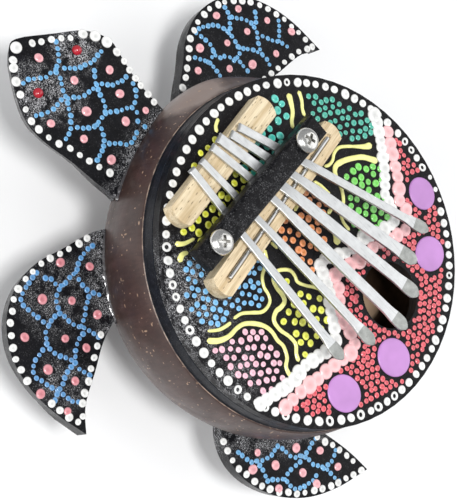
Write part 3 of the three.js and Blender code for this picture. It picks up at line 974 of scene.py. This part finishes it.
def make_screws(m):
    for side in ("left", "right"):
        node = "screw_" + side
        low, high = low_mm(node), high_mm(node)
        centre = ((low.x + high.x) / 2, (low.y + high.y) / 2)
        seat = low.z + SCREW_LENGTH
        top = high.z
        head = top - seat
        profile = [(0, low.z), (0.5, low.z + 1.2), (SCREW_SHANK_RADIUS * 0.8, low.z + POINT_LENGTH)]
        for i in range(THREAD_TURNS):
            z = low.z + POINT_LENGTH + i * THREAD_PITCH
            crest = (SCREW_SHANK_RADIUS, z + 0.8)
            profile += [(THREAD_CORE_RADIUS, z + 0.3), crest, (THREAD_CORE_RADIUS, z + 1.3)]
        profile += [(SCREW_SHANK_RADIUS, seat - 1), (SCREW_SHANK_RADIUS, seat)]
        profile += [(SCREW_HEAD_RADIUS * share, seat + head * rise) for share, rise in SCREW_HEAD]
        points, faces = turned(profile, 64, centre)
        screw = mesh_piece("steel_" + node, points, faces, [m["screw"]])
        carve(screw, recess_cutter(centre, top, RECESS_TURN[side]))
        settle(even_normals(screw), BODY, "screw_steel", node)


def recess_cutter(centre, top, turn_degrees):
    """A cross of two arms that narrow towards the bottom of the recess."""
    made = bmesh.new()
    half_length, half_width = RECESS_ARM
    for extra in (0, 90):
        turn = Matrix.Rotation(math.radians(turn_degrees + extra), 3, "Z")
        corners = []
        for z, shrink in ((-RECESS_DEPTH, RECESS_TAPER), (1.0, 1.0)):
            for sx, sy in ((-1, -1), (1, -1), (1, 1), (-1, 1)):
                at = turn @ Vector((sx * half_length * shrink, sy * half_width * shrink, 0))
                at += Vector((*centre, top + z))
                corners.append(made.verts.new(at * MM))
        for ring in ((3, 2, 1, 0), (4, 5, 6, 7), (0, 1, 5, 4), (1, 2, 6, 5), (2, 3, 7, 6), (3, 0, 4, 7)):
            made.faces.new([corners[i] for i in ring])
    mesh = bpy.data.meshes.new("recess")
    made.to_mesh(mesh)
    made.free()
    return linked("recess", mesh)


def carve(piece, cutter):
    """Cuts the cutter out of a piece, softens the hard edges, and removes the cutter."""
    modifier = piece.modifiers.new("carve", "BOOLEAN")
    modifier.operation = "DIFFERENCE"
    modifier.solver = "EXACT"
    modifier.use_self = True
    modifier.object = cutter
    bake_modifiers(piece)
    edge = piece.modifiers.new("edge", "BEVEL")
    edge.width = 0.12 * MM
    edge.segments = 2
    edge.limit_method = "ANGLE"
    edge.angle_limit = math.radians(45)
    bake_modifiers(piece)
    bpy.data.objects.remove(cutter)


# ---- tines

TINE_COUNT = 6
TINE_EDGE = 0.22  # radius of the strip's filed edges
HAMMERED_THICKNESS = 1.0  # the strip counts as hammered where it is thinner than this
STATION_STEP = 0.8  # between a visual tine's cross-sections
SECTION_GAP = 0.12  # corners closer than this along a tine belong to one cross-section
TIP_LENGTH = 3  # the tip keeps its outline over this length


def tine_stations(node, origin):
    """Cross-sections of a CAD tine outwards from the rod: (distance, centre, width, thickness)."""
    corners = {tuple(round(c / MM, 2) for c in v.co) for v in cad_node(node).data.vertices}
    corners = sorted((Vector(c) for c in corners), key=lambda c: (c - origin).length)
    along = sum(corners[-4:], Vector()) / 4 - origin
    along.z = 0
    along.normalize()
    corners.sort(key=lambda c: (c - origin).dot(along))
    runs = [[corners[0]]]
    for corner in corners[1:]:
        if (corner - runs[-1][-1]).dot(along) > SECTION_GAP:
            runs.append([])
        runs[-1].append(corner)
    stations = []
    for run in runs:
        centre = sum(run, Vector()) / len(run)
        width = max((a - b).xy.length for a in run for b in run)
        thickness = max(c.z for c in run) - min(c.z for c in run)
        stations.append(((centre - origin).dot(along), centre, width, thickness))
    return stations


def make_tine(number, joint, m):
    """One steel strip from its back end to its hammered tip, bending at the bridge rod."""
    origin = Vector(joint["pos_m"]) / MM
    root = [(-at, *rest) for at, *rest in tine_stations(f"tine_{number}_root", origin)[1:]]
    key = tine_stations(f"tine_{number}_key", origin)[1:]
    middle = (0.0, origin, root[0][2], root[0][3])
    stations = root[::-1] + [middle] + key
    fine = refine_stations(stations)
    section = strip_section()
    points, faces, slots = [], [], []
    for i, (_, centre, width, thickness) in enumerate(fine):
        ahead = fine[min(i + 1, len(fine) - 1)][1] - fine[max(i - 1, 0)][1]
        across = Vector((-ahead.y, ahead.x, 0)).normalized()
        for u, v in section:
            edge_u, edge_v = width / 2 - TINE_EDGE, thickness / 2 - TINE_EDGE
            side = math.copysign(max(edge_u, 0), u) + TINE_EDGE * u
            up = math.copysign(max(edge_v, 0), v) + TINE_EDGE * v
            points.append(centre + across * side + Vector((0, 0, up)))
    row = len(section)
    for i in range(len(fine) - 1):
        hammered = fine[i][3] < HAMMERED_THICKNESS
        for k in range(row):
            a, b = i * row + k, i * row + (k + 1) % row
            faces.append([a, b, b + row, a + row])
            slots.append(1 if hammered else 0)
    faces.append(list(range(row))[::-1])
    faces.append([len(points) - row + k for k in range(row)])
    slots += [0, 1]
    tine = mesh_piece(f"tine_{number}", points, faces, [m["steel"], m["hammered"]], slots)
    even_normals(tine)
    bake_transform(tine)
    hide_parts(f"tine_{number}_root", f"tine_{number}_key")


def strip_section():
    """A unit rectangle with rounded corners: three points to a corner, the outer two amid the faces."""
    diagonal = math.sin(math.pi / 4)
    amid = 0.001
    section = []
    for x, y in ((1, 1), (-1, 1), (-1, -1), (1, -1)):
        corner = [(x, amid * y), (x * diagonal, y * diagonal), (amid * x, y)]
        section += corner if x == y else corner[::-1]
    return section


def refine_stations(stations):
    """More cross-sections, with the bends between straight stretches softened."""
    fine = []
    for (d1, c1, w1, t1), (d2, c2, w2, t2) in zip(stations, stations[1:]):
        steps = max(1, int((d2 - d1) / STATION_STEP))
        for k in range(steps):
            share = k / steps
            width, thickness = w1 + (w2 - w1) * share, t1 + (t2 - t1) * share
            fine.append([d1 + (d2 - d1) * share, c1.lerp(c2, share), width, thickness])
    fine.append(list(stations[-1]))
    for turn in range(6):
        centres = [s[1].copy() for s in fine]
        widths = [(s[2], s[3]) for s in fine]
        for i in range(1, len(fine) - 1):
            fine[i][1] = (centres[i - 1] + 2 * centres[i] + centres[i + 1]) / 4
            if turn < 3 or stations[-1][0] - fine[i][0] > TIP_LENGTH:
                fine[i][2] = (widths[i - 1][0] + 2 * widths[i][0] + widths[i + 1][0]) / 4
                fine[i][3] = (widths[i - 1][1] + 2 * widths[i][1] + widths[i + 1][1]) / 4
    return fine


# ---- painting on the board

RIM_DOT_CIRCLE = 57.2
RIM_DOT = 1.55
# The stretch of rim with open-centred drops, in degrees.
PITTED_FROM = 100
PITTED_TO = 262

# Chained white and pink drops that divide the back of the board from the tail's red field.
WHITE_BAND = [
    (-56.5, -10), (-50, -12.8), (-44, -15.6), (-37, -17.4), (-31.5, -18.8), (-26, -21.5), (-20.5, -22.5),
    (-16.5, -18), (-12, -14), (-8, -11), (-5, -6.5), (-2.5, -3.5), (1, -5.5), (5, -9), (10, -11.8),
    (15, -13.5), (20, -16), (24.5, -19), (29.5, -20.5), (32.5, -16.5), (35.5, -12), (41, -8.6),
    (46, -4.5), (50.5, -0.8), (54, 3), (56.2, 6.2),
]
PINK_BAND = [
    (-51.5, -18), (-46, -19.8), (-40, -22), (-34, -24.3), (-28, -27), (-22, -29.5), (-17.8, -30),
    (-15.5, -26), (-13.5, -20.8), (-6, -15), (-3, -11), (2.5, -12.5), (6.5, -15.5), (11, -17.5),
    (17, -18.7), (22, -21.5), (26, -24.5), (31, -26.5), (35, -24), (37, -18.5), (42, -15), (46.5, -10.5),
    (50.5, -5.8), (54.5, -2),
]

BIG_PURPLE = [((45.3, -25.2), 5.9), ((28.9, -39.2), 6.3), ((-11.7, -45.5), 6.8), ((-34.2, -35), 6.5)]

# Raised pale yellow lines: the seams between the scutes. (controls, widths)
SEAMS = [
    ([(-48.3, 18.9), (-45.6, 15.9), (-43, 14.3), (-40.6, 13.4)], (1.0, 1.3, 1.2)),
    ([(-39.2, 13.3), (-36, 11.8), (-33.5, 9), (-31, 6), (-28.6, 5), (-26, 5.2), (-24.4, 7), (-23.4, 9.6),
     (-21, 11.9), (-18, 12.8), (-15.3, 13.6), (-12.8, 16.3)], (1.1, 1.4, 1.2, 1.3, 1.6)),
    ([(-51, 17.4), (-48.5, 14), (-45, 11.6), (-41, 10.6), (-38, 9), (-35.4, 5.5), (-34, 2), (-34, -1),
     (-35, -4), (-35.3, -7), (-37.5, -10), (-40.4, -11.4), (-42, -14.4)], (2.2, 1.6, 1.7, 1.4, 1.6)),
    ([(-36, -14.6), (-34.4, -12.4), (-31.8, -10.4), (-31.2, -7), (-31.5, -3), (-30.4, 0.5), (-27.5, 1.5),
     (-25, 0.7), (-22.5, 0.6), (-21.2, 2.5), (-20.6, 5.5), (-19, 8.1), (-16.5, 8.6), (-14.4, 7.2),
     (-12.5, 4.5), (-12.8, 2), (-13.9, 0), (-13, -3), (-11.5, -6), (-10.3, -9)],
     (1.6, 1.4, 1.8, 1.5, 1.3, 1.2)),
    ([(-9.2, 15.6), (-9.4, 12.2)], (1.2, 1.0)),
    ([(14.3, -7.6), (15, -4), (17, -1.4), (20, -0.7), (22.5, 0.8), (24.5, 3), (26, 6), (27.8, 8.2),
     (30, 8.8), (33, 7.5), (36.5, 4.9), (39.5, 2), (41.2, -1), (42.6, -4.1)],
     (1.2, 1.3, 1.5, 2.2, 2.0, 2.4)),
    ([(26.4, 12.6), (28, 11.3), (30.5, 11), (33, 11.8), (36, 11.3), (38.5, 9), (41, 6), (43.5, 3),
     (46, 0.9)], (1.2, 1.3, 1.2, 2.6)),
    ([(19.2, 13.2), (19.8, 10), (19.7, 5.4)], (1.4, 1.2, 1.0)),
    ([(13.3, 2.6), (16.5, 2.4)], (1.6, 1.6)),
    ([(9.4, -2.6), (8.6, -4.6), (6.8, -6.2)], (1.4, 2.8, 3.4)),
    ([(5.6, 13.8), (8.6, 13.9)], (1.5, 1.4)),
    ([(29.2, 29.4), (31, 31.1), (34, 32.6), (36.4, 35), (38.4, 37.4)], (1.6, 1.6, 2.6)),
    ([(36, 28), (37.5, 30.1), (40, 32.1), (41.9, 34.8)], (1.4, 1.3, 1.7)),
    ([(8.4, 51.4), (9.9, 53), (12.9, 53.7)], (1.4, 1.3)),
    ([(-32.2, 43.6), (-30, 41), (-26.2, 38.9)], (2.0, 1.5, 1.1)),
    ([(-36.2, 39.2), (-33.4, 39.6), (-31.4, 38.2)], (2.6, 1.8, 1.2)),
]

# Fields of drops: name, outline, spacing, radius of a drop.
FIELDS = [
    ("light_blue", [(-51.5, 20.5), (-53, 24), (-49.5, 30), (-45, 36), (-40, 39.5), (-34.5, 37.5),
     (-30, 34), (-20, 27), (-14.8, 16), (-19, 14.3), (-22.8, 12.8), (-25.6, 8.8), (-27, 7), (-29.5, 7),
     (-32.5, 10.5), (-35.5, 14), (-41, 15.6), (-45, 18), (-48, 20.6)], 2.85, 1.0),
    ("pale_pink", [(-54.5, 14.5), (-50.5, 15), (-48, 11.8), (-44, 9.4), (-40, 8.2), (-37, 5), (-35.8, 1),
     (-36.6, -3.5), (-37.2, -7), (-40, -9.6), (-43.2, -12.6), (-47, -11.8), (-51, -9.5), (-54.6, -6.5),
     (-55, 0), (-55, 8)], 3.1, 1.12),
    ("yellow", [(-29.6, -0.8), (-25, -1), (-22, -1), (-19.4, 3), (-18.6, 6.4), (-15.8, 6.6), (-14.4, 3.5),
     (-15.2, 0), (-14.4, -3.5), (-12.6, -7), (-12, -10), (-15, -13.6), (-18.6, -16.2), (-23.2, -18.6),
     (-27.5, -16.5), (-33.4, -14.6), (-31, -11.8), (-29.6, -7.5), (-29.9, -4)], 3.7, 1.28),
    ("orange", [(-7.4, 16), (-7.6, -1.5), (-5, -2.5), (-2, 1.2), (0.6, -1.5), (4.2, -5.6), (6.5, -3.2),
     (8, -1), (11.5, 3.8), (17.8, 4.2), (18, 16)], 3.4, 1.24),
    ("lime", [(15.6, -6.5), (17.2, -3.2), (20.4, -2.4), (23, -0.5), (25.4, 2.5), (27.8, 6.4), (30.2, 6.9),
     (34.2, 4.5), (38, 1), (39.7, -2.2), (41.2, -5.6), (37.5, -8.2), (34, -11.4), (31.6, -15.4),
     (28.4, -18.2), (24.5, -16.6), (20.5, -13.8), (15.6, -11.6)], 3.45, 1.34),
    ("teal", [(37.8, 27.4), (41.5, 31.5), (43, 33.8), (46, 30.5), (49.5, 25), (52, 19), (54.2, 12),
     (53.4, 6.5), (49.8, 2.9), (46.9, 3.2), (43.6, 6.4), (40.4, 10.4), (40, 20)], 2.9, 1.08),
    ("turquoise", [(9, 50.6), (12, 52), (20, 51), (33, 45.5), (38.5, 40.5), (35.4, 36.6), (31.5, 33.4),
     (28, 30.6), (20, 28), (6, 30), (6, 50)], 3.9, 1.4),
    ("yellow_top", [(-30.5, 46.8), (-20, 53), (-7, 56), (6.5, 56.2), (7, 50), (4, 32), (-24, 34),
     (-28.5, 42.6)], 3.5, 1.25),
]
FIELD_MATERIAL = {"yellow_top": "yellow"}
FIELD_MARGIN = 0.9  # how far a drop's middle may lie outside its field's outline

CORAL_SPACING = 2.42
CORAL_RADIUS = 1.02


def distance_to_path(place, path):
    """Shortest distance from a plan point to a run of straight stretches."""
    nearest = 1e9
    for a, b in zip(path, path[1:]):
        run = b - a
        share = max(0.0, min(1.0, (place - a).dot(run) / max(run.length_squared, 1e-9)))
        nearest = min(nearest, (place - a - share * run).length)
    return nearest


def board_dots(name, material, seed):
    return Dots("dots_" + name, material, "painted_board", BOARD_TOP, seed)


def paint_board(m):
    glued = [footprint("back_bridge"), footprint("front_bridge")]
    seams = [(smooth_path(controls, 1.2), max(widths) / 2) for controls, widths in SEAMS]

    def blocked(place, radius):
        if place.length > RIM_DOT_CIRCLE - 2.4 - radius:
            return True
        if any(inside(place, outline) for outline in glued):
            return True
        return any(distance_to_path(place, path) < half + 0.75 * radius for path, half in seams)

    for number, (name, outline, spacing, radius) in enumerate(FIELDS):
        dots = board_dots(name, m[FIELD_MATERIAL.get(name, name)], 20 + number)
        dots.scatter(outline, spacing, radius, blocked, FIELD_MARGIN)
        dots.finish()
    ribbon("scute_seams", SEAMS, m["pale_yellow"], "painted_board", BOARD_TOP)
    paint_rim(m)
    paint_bands(m)
    paint_tail(m)


def paint_rim(m):
    """White drops all round the edge; many on the left have an open centre."""
    dots = board_dots("rim", m["white"], 5)
    angle = 0.0
    while angle < 2 * math.pi - 0.045:
        radius = RIM_DOT * dots.random.uniform(0.86, 1.14)
        circle = RIM_DOT_CIRCLE + 0.5 - 0.25 * radius
        place = Vector((circle * math.cos(angle), circle * math.sin(angle)))
        crowded = any((place - Vector(centre)).length < disc + radius for centre, disc in BIG_PURPLE)
        on_left = PITTED_FROM < math.degrees(angle) < PITTED_TO
        pitted = dots.random.random() < (0.42 if on_left else 0.07)
        if crowded:
            dots.add(place * (1 + 1.1 / RIM_DOT_CIRCLE), 0.6 * radius)
        else:
            dots.add(place, radius, profile=PITTED_PROFILE if pitted else DOT_PROFILE)
        angle += (2 * radius + 0.7 + 0.7 * dots.random.random()) / RIM_DOT_CIRCLE
    dots.finish()


def paint_bands(m):
    pink = board_dots("band_pink", m["band_pink"], 7)
    pink.chain(PINK_BAND, 4.0, 2.75, jitter=0.1)
    pink.finish()
    white = board_dots("band_white", m["white"], 6)
    white.chain(WHITE_BAND, 3.2, 2.5, jitter=0.16)
    white.finish()


def paint_tail(m):
    """The red field between the bands and the rim, round the sound hole and the purple discs."""
    band = smooth_path(PINK_BAND, 1.5)
    angles = [math.radians(-1 - 162 * i / 60) for i in range(61)]
    arc = [Vector((RIM_DOT_CIRCLE * math.cos(a), RIM_DOT_CIRCLE * math.sin(a))) for a in angles]
    outline = [Vector((-55.5, -17))] + band + [Vector((56.5, -1))] + arc

    def blocked(place, radius):
        if place.length > RIM_DOT_CIRCLE - 1.4 - 0.6 * radius:
            return True
        if (place - SOUND_HOLE).length < SOUND_HOLE_RADIUS + 0.3 + 0.8 * radius:
            return True
        if any((place - Vector(centre)).length < disc + 0.2 + 0.5 * radius for centre, disc in BIG_PURPLE):
            return True
        return distance_to_path(place, band) < 2.3 + 0.25 * radius

    coral = board_dots("tail", m["coral"], 40)
    coral.scatter(outline, CORAL_SPACING, CORAL_RADIUS, blocked)
    coral.finish()
    discs = board_dots("purple", m["purple"], 41)
    for centre, radius in BIG_PURPLE:
        discs.add(centre, radius, height=0.5, profile=DISC_PROFILE)
    discs.finish()


# ---- painting on the limbs

# Blue chains make a net with one pink drop to a mesh; white drops run along the edges.
HEAD_NET = [
    [(-9.5, 107), (-7, 106), (-3, 102.5), (0, 101.5), (2, 101)],
    [(10, 106), (7.6, 103.6), (5, 101.6), (2, 101), (0.7, 98), (-1.2, 96), (-3.2, 93), (-5.5, 90.5),
     (-7, 88.5), (-9.5, 86.5), (-12, 85.2), (-15, 85)],
    [(-15.6, 97.6), (-12, 95), (-8, 93.8), (-5, 93.6)],
    [(4.5, 99), (7, 96), (10, 94), (13, 92.5), (18.4, 92)],
    [(-3, 92), (-1, 90), (1, 88.5), (5.5, 87), (8.5, 86.5), (10, 84.5), (12, 82), (15, 80.6), (17.5, 80)],
    [(11.3, 90), (8.6, 88), (6, 84), (4.4, 81), (2, 79)],
    [(-9, 84), (-8, 82.4), (-6, 80.4), (-3.5, 79), (-1, 79), (2, 78.8), (4, 77), (6, 75.4), (8, 74),
     (10, 72.5), (10, 70)],
    [(-3.5, 79), (-4, 76), (-6.3, 74), (-5.8, 71.6), (-4, 70), (-3, 68.4), (-1.5, 66.5), (0.8, 65.6),
     (4, 66)],
    [(-13.5, 72.2), (-9, 72.8), (-6.3, 74)],
    [(10, 72.5), (13.5, 72.8), (16, 74.5), (17.2, 76.6)],
    [(7.7, 68), (7.8, 65)],
]
HEAD_PINK = [
    (1.2, 107.7), (-14.2, 92), (3.5, 93.8), (-2.3, 84.5), (15.3, 86), (-10.7, 80), (11, 78.5),
    (4.5, 71.5), (12.7, 67.8), (-10, 68.3),
]
HEAD_EDGES = [
    [(-14.3, 66.4), (-15.2, 73), (-16.3, 80), (-17.6, 85), (-18.8, 91), (-18.6, 96), (-16.4, 101.4)],
    [(3.6, 112.4), (9.2, 107.6), (14.8, 102.8)],
    [(20.6, 80.6), (18.8, 74), (17.4, 67)],
]
HEAD_BIG = [
    ((-13.4, 105.6), 1.4), ((-10.8, 109.2), 1.7), ((-7.6, 112.4), 1.65), ((-5.6, 114), 1.45),
    ((-1.4, 115.6), 2.05), ((18.9, 100.4), 1.7), ((21.4, 96.6), 2.0), ((22.7, 92.2), 2.1),
    ((22.4, 87.4), 1.6), ((21.6, 83.6), 1.3),
]

FRONT_LEFT_NET = [
    [(-54, 65.5), (-58, 65.9), (-63.5, 65.6), (-65.6, 63.6), (-66, 60), (-66, 55.5), (-65.5, 52.5)],
    [(-53.6, 62), (-52.4, 59.5), (-53, 57.6), (-51.5, 55.8), (-48, 55.3), (-45, 54.3), (-41.8, 55.5),
     (-37.5, 55.5), (-34, 54.5)],
    [(-51.5, 55.8), (-55, 55.8), (-58, 54.2), (-60, 51.5), (-62.6, 52.5), (-65.5, 52.5), (-69, 51.5),
     (-71, 49.5), (-76, 49.7), (-80, 49.3), (-82.3, 46.8), (-82, 43), (-81.5, 38)],
    [(-60, 51.5), (-60, 45), (-59, 42.5), (-58.5, 39), (-58.3, 35.6)],
    [(-59, 43), (-56, 43.5), (-53, 44.7), (-49.6, 46), (-47, 45.5), (-46.4, 43.6)],
    [(-47, 45.5), (-47.5, 48.5), (-46.8, 51.8), (-45, 54.3)],
    [(-60.6, 41), (-63.4, 41), (-66, 40.3), (-68, 39), (-70, 38), (-71, 35), (-70.5, 31.4)],
    [(-71, 49.5), (-72, 46.5), (-71.5, 43.5), (-70.6, 40.6), (-70, 38), (-74, 38.6), (-78, 37.6),
     (-81.5, 37.6), (-84.6, 37)],
    [(-81.5, 37.6), (-81.3, 34.6), (-81.4, 32), (-80.2, 29.8)],
]
FRONT_LEFT_PINK = [
    (-74, 57), (-60, 59), (-46, 60.7), (-54, 50.3), (-40.5, 51.5), (-77.8, 44.5), (-65.8, 45.2),
    (-52.2, 40.2), (-63.8, 37.3), (-85.8, 42.2), (-75.2, 34.5), (-85, 31.2),
]

FRONT_RIGHT_NET = [
    [(55.6, 65.4), (58.6, 65), (61.5, 63), (64, 60.4), (65, 57), (65, 53), (63.5, 48.8), (65, 46.5),
     (66.6, 44), (67.6, 41.3), (68, 38), (67, 35.4)],
    [(56, 63), (56, 58.6), (55, 56), (54, 53.5), (56, 52), (58, 49.5), (59, 47), (59, 44), (58.4, 41.4)],
    [(47.6, 60.5), (49, 58), (50, 55.6), (50, 52.5), (49, 49)],
    [(50, 55.6), (53, 55.5), (55, 56)],
    [(58, 47.7), (61, 47.1), (63.5, 48.7)],
    [(65, 55), (67.6, 56), (70, 58), (71.4, 59.6), (72, 61.5)],
    [(71, 57.4), (72.5, 55), (74, 52.5), (75, 50), (74.5, 48), (73.4, 45.6), (71, 44), (69.4, 42),
     (68, 40)],
    [(75, 50), (77, 48.6), (79.6, 51)],
    [(74, 43.4), (75, 41), (76, 39), (77.5, 36.6), (78, 33.4)],
    [(77.5, 37), (80, 38.6), (82, 40), (84, 41.6)],
]
FRONT_RIGHT_PINK = [
    (44.5, 57), (52, 61), (61.5, 53.5), (67, 62.5), (71, 49.5), (54, 47.5), (62, 41), (72.5, 35.5),
    (75.6, 57), (80.6, 45.3), (84.4, 35),
]

FRONT_EDGE_LEADING = [
    (35.2, 58.2), (41, 60.2), (49, 64.4), (58, 66.9), (66.5, 66), (74, 62.4), (80, 56.6), (84.2, 49),
    (86.1, 40.5), (86.4, 31), (85.9, 25),
]
# The left flipper's drops lie closer to its edge, and leave room for a pink one there.
FRONT_LEFT_EDGES = [
    [(-33, 57.6), (-41, 61), (-49, 65.2), (-58, 67.5), (-66.6, 66.6), (-74.4, 62.8), (-80.6, 56.8),
     (-85.3, 48.5)],
    [(-86.0, 37.4), (-86.2, 31), (-85.6, 26)],
]
FRONT_EDGE_TRAILING = [(83.4, 26), (78, 29), (70, 31.4), (62.6, 33.6), (57, 35.4)]

HIND_NET = [
    [(-59.3, -29.8), (-59.4, -33), (-59.4, -36), (-57.7, -38), (-58.5, -40.5), (-59.6, -43), (-61, -45),
     (-59.5, -46.6), (-58, -48.6), (-56.6, -51), (-57, -54), (-56.8, -56.6), (-55, -58.5), (-52.5, -59.6),
     (-50.4, -61), (-48, -61.3)],
    [(-57.7, -38), (-55, -40.5), (-52, -41.8), (-48.6, -42), (-48, -45), (-48.5, -48), (-47.6, -50.5),
     (-45.5, -52.6), (-45, -55), (-45.3, -58), (-44, -61), (-43.6, -64), (-44, -67), (-44, -70.5)],
    [(-56.6, -51), (-53, -51), (-50, -52), (-47.5, -53), (-45.5, -52.6)],
    [(-45.5, -52.6), (-43, -53.8), (-39.6, -53.8), (-37, -54)],
    [(-44, -62.5), (-41.4, -63.6), (-38.5, -64.3), (-35.4, -63.4)],
]
HIND_PINK = [
    (-55, -36.5), (-61, -38), (-54.5, -45), (-60.6, -50.5), (-44.5, -49), (-50.3, -56), (-39.5, -58),
    (-50.3, -63), (-40, -67.5),
]
HIND_EDGE = [
    (-59.6, -23), (-63, -29.5), (-64, -36.5), (-63.4, -45), (-60.4, -53.4), (-54.8, -61.6),
    (-47.5, -68.6), (-40.4, -73.6), (-35.2, -76.6),
]
HIND_EDGE_TRAILING = [(-34.4, -72), (-34.4, -66), (-35, -60), (-36.4, -54.4)]

LIMB_DOT = 0.93
LIMB_DOT_STEP = 2.14
LIMB_PINK_DOT = 1.55
EDGE_DOT = 1.3
EDGE_STEP = 3.8


def mirrored(points):
    return [(-x, y) for x, y in points]


def paint_limb(name, top, net, spots, edges, seed, m, big=(), blue="limb_blue", pink="limb_pink"):
    dots = Dots("dots_net_" + name, m[blue], "painted_limb", top, seed)
    for chain in net:
        dots.chain(chain, LIMB_DOT_STEP, LIMB_DOT, jitter=0.18, sizes=(0.84, 1.16))
    dots.finish()
    dots = Dots("dots_spots_" + name, m[pink], "painted_limb", top, seed + 1)
    for place in spots:
        dots.add(place, LIMB_PINK_DOT * dots.random.uniform(0.85, 1.2))
    dots.finish()
    dots = Dots("dots_edge_" + name, m["white"], "painted_limb", top, seed + 2)
    for edge in edges:
        dots.chain(edge, EDGE_STEP, EDGE_DOT, jitter=0.22, sizes=(0.82, 1.16))
    for place, radius in big:
        dots.add(place, radius)
    dots.finish()


def paint_limbs(m):
    paint_limb("head", HEAD_TOP, HEAD_NET, HEAD_PINK, HEAD_EDGES, 60, m, HEAD_BIG)
    right_edges = [FRONT_EDGE_LEADING, FRONT_EDGE_TRAILING]
    left_edges = FRONT_LEFT_EDGES + [mirrored(FRONT_EDGE_TRAILING)]
    paint_limb("front_right", FLIPPER_TOP, FRONT_RIGHT_NET, FRONT_RIGHT_PINK, right_edges, 70, m)
    paint_limb("front_left", FLIPPER_TOP, FRONT_LEFT_NET, FRONT_LEFT_PINK, left_edges, 80, m,
               blue="limb_deep_blue", pink="limb_rose")
    hind_edges = [HIND_EDGE, HIND_EDGE_TRAILING]
    paint_limb("hind_left", FLIPPER_TOP, HIND_NET, HIND_PINK, hind_edges, 90, m)
    paint_limb("hind_right", FLIPPER_TOP, [mirrored(c) for c in HIND_NET], mirrored(HIND_PINK),
               [mirrored(e) for e in hind_edges], 100, m)


# ---- stage and light

def make_stage(m_floor):
    size = 3000
    points = [(-size, -size, 0), (size, -size, 0), (size, size, 0), (-size, size, 0)]
    floor = mesh_piece("floor", points, [[0, 1, 2, 3]], [m_floor], smooth=False)
    world = bpy.data.worlds.new("studio")
    world.use_nodes = True
    world.node_tree.nodes["Background"].inputs["Color"].default_value = (0.95, 0.97, 1.0, 1)
    world.node_tree.nodes["Background"].inputs["Strength"].default_value = 0.42
    bpy.context.scene.world = world
    # name, place and aim in millimetres, size in metres, watts
    lights = [
        ("key", (-300, 140, 1024), (0, 0, 60), 0.2, 7.2),
        ("window", (-620, 420, 480), (0, 0, 50), 0.6, 3.2),
        ("fill", (420, -520, 620), (0, 0, 40), 0.9, 3.0),
    ]
    for name, place, aim, size_m, watts in lights:
        data = bpy.data.lights.new(name, "AREA")
        data.size = size_m
        data.energy = watts
        light = linked(name, data)
        light.location = Vector(place) * MM
        light.rotation_euler = (Vector(aim) - Vector(place)).to_track_quat("-Z", "Y").to_euler()
    bpy.context.scene.view_settings.view_transform = "Standard"


# ---- assembly

def main():
    make_camera()
    m = make_materials()
    make_stage(floor_material())
    make_shell(m)
    make_board(m)
    make_limbs(m)
    make_eyes(m)
    make_woodwork(m)
    make_rod(m)
    make_screws(m)
    joints = {joint["name"]: joint for joint in frame["joints"]}
    for number in range(1, TINE_COUNT + 1):
        make_tine(number, joints[f"tine_{number}_flex"], m)
    paint_board(m)
    paint_limbs(m)


main()
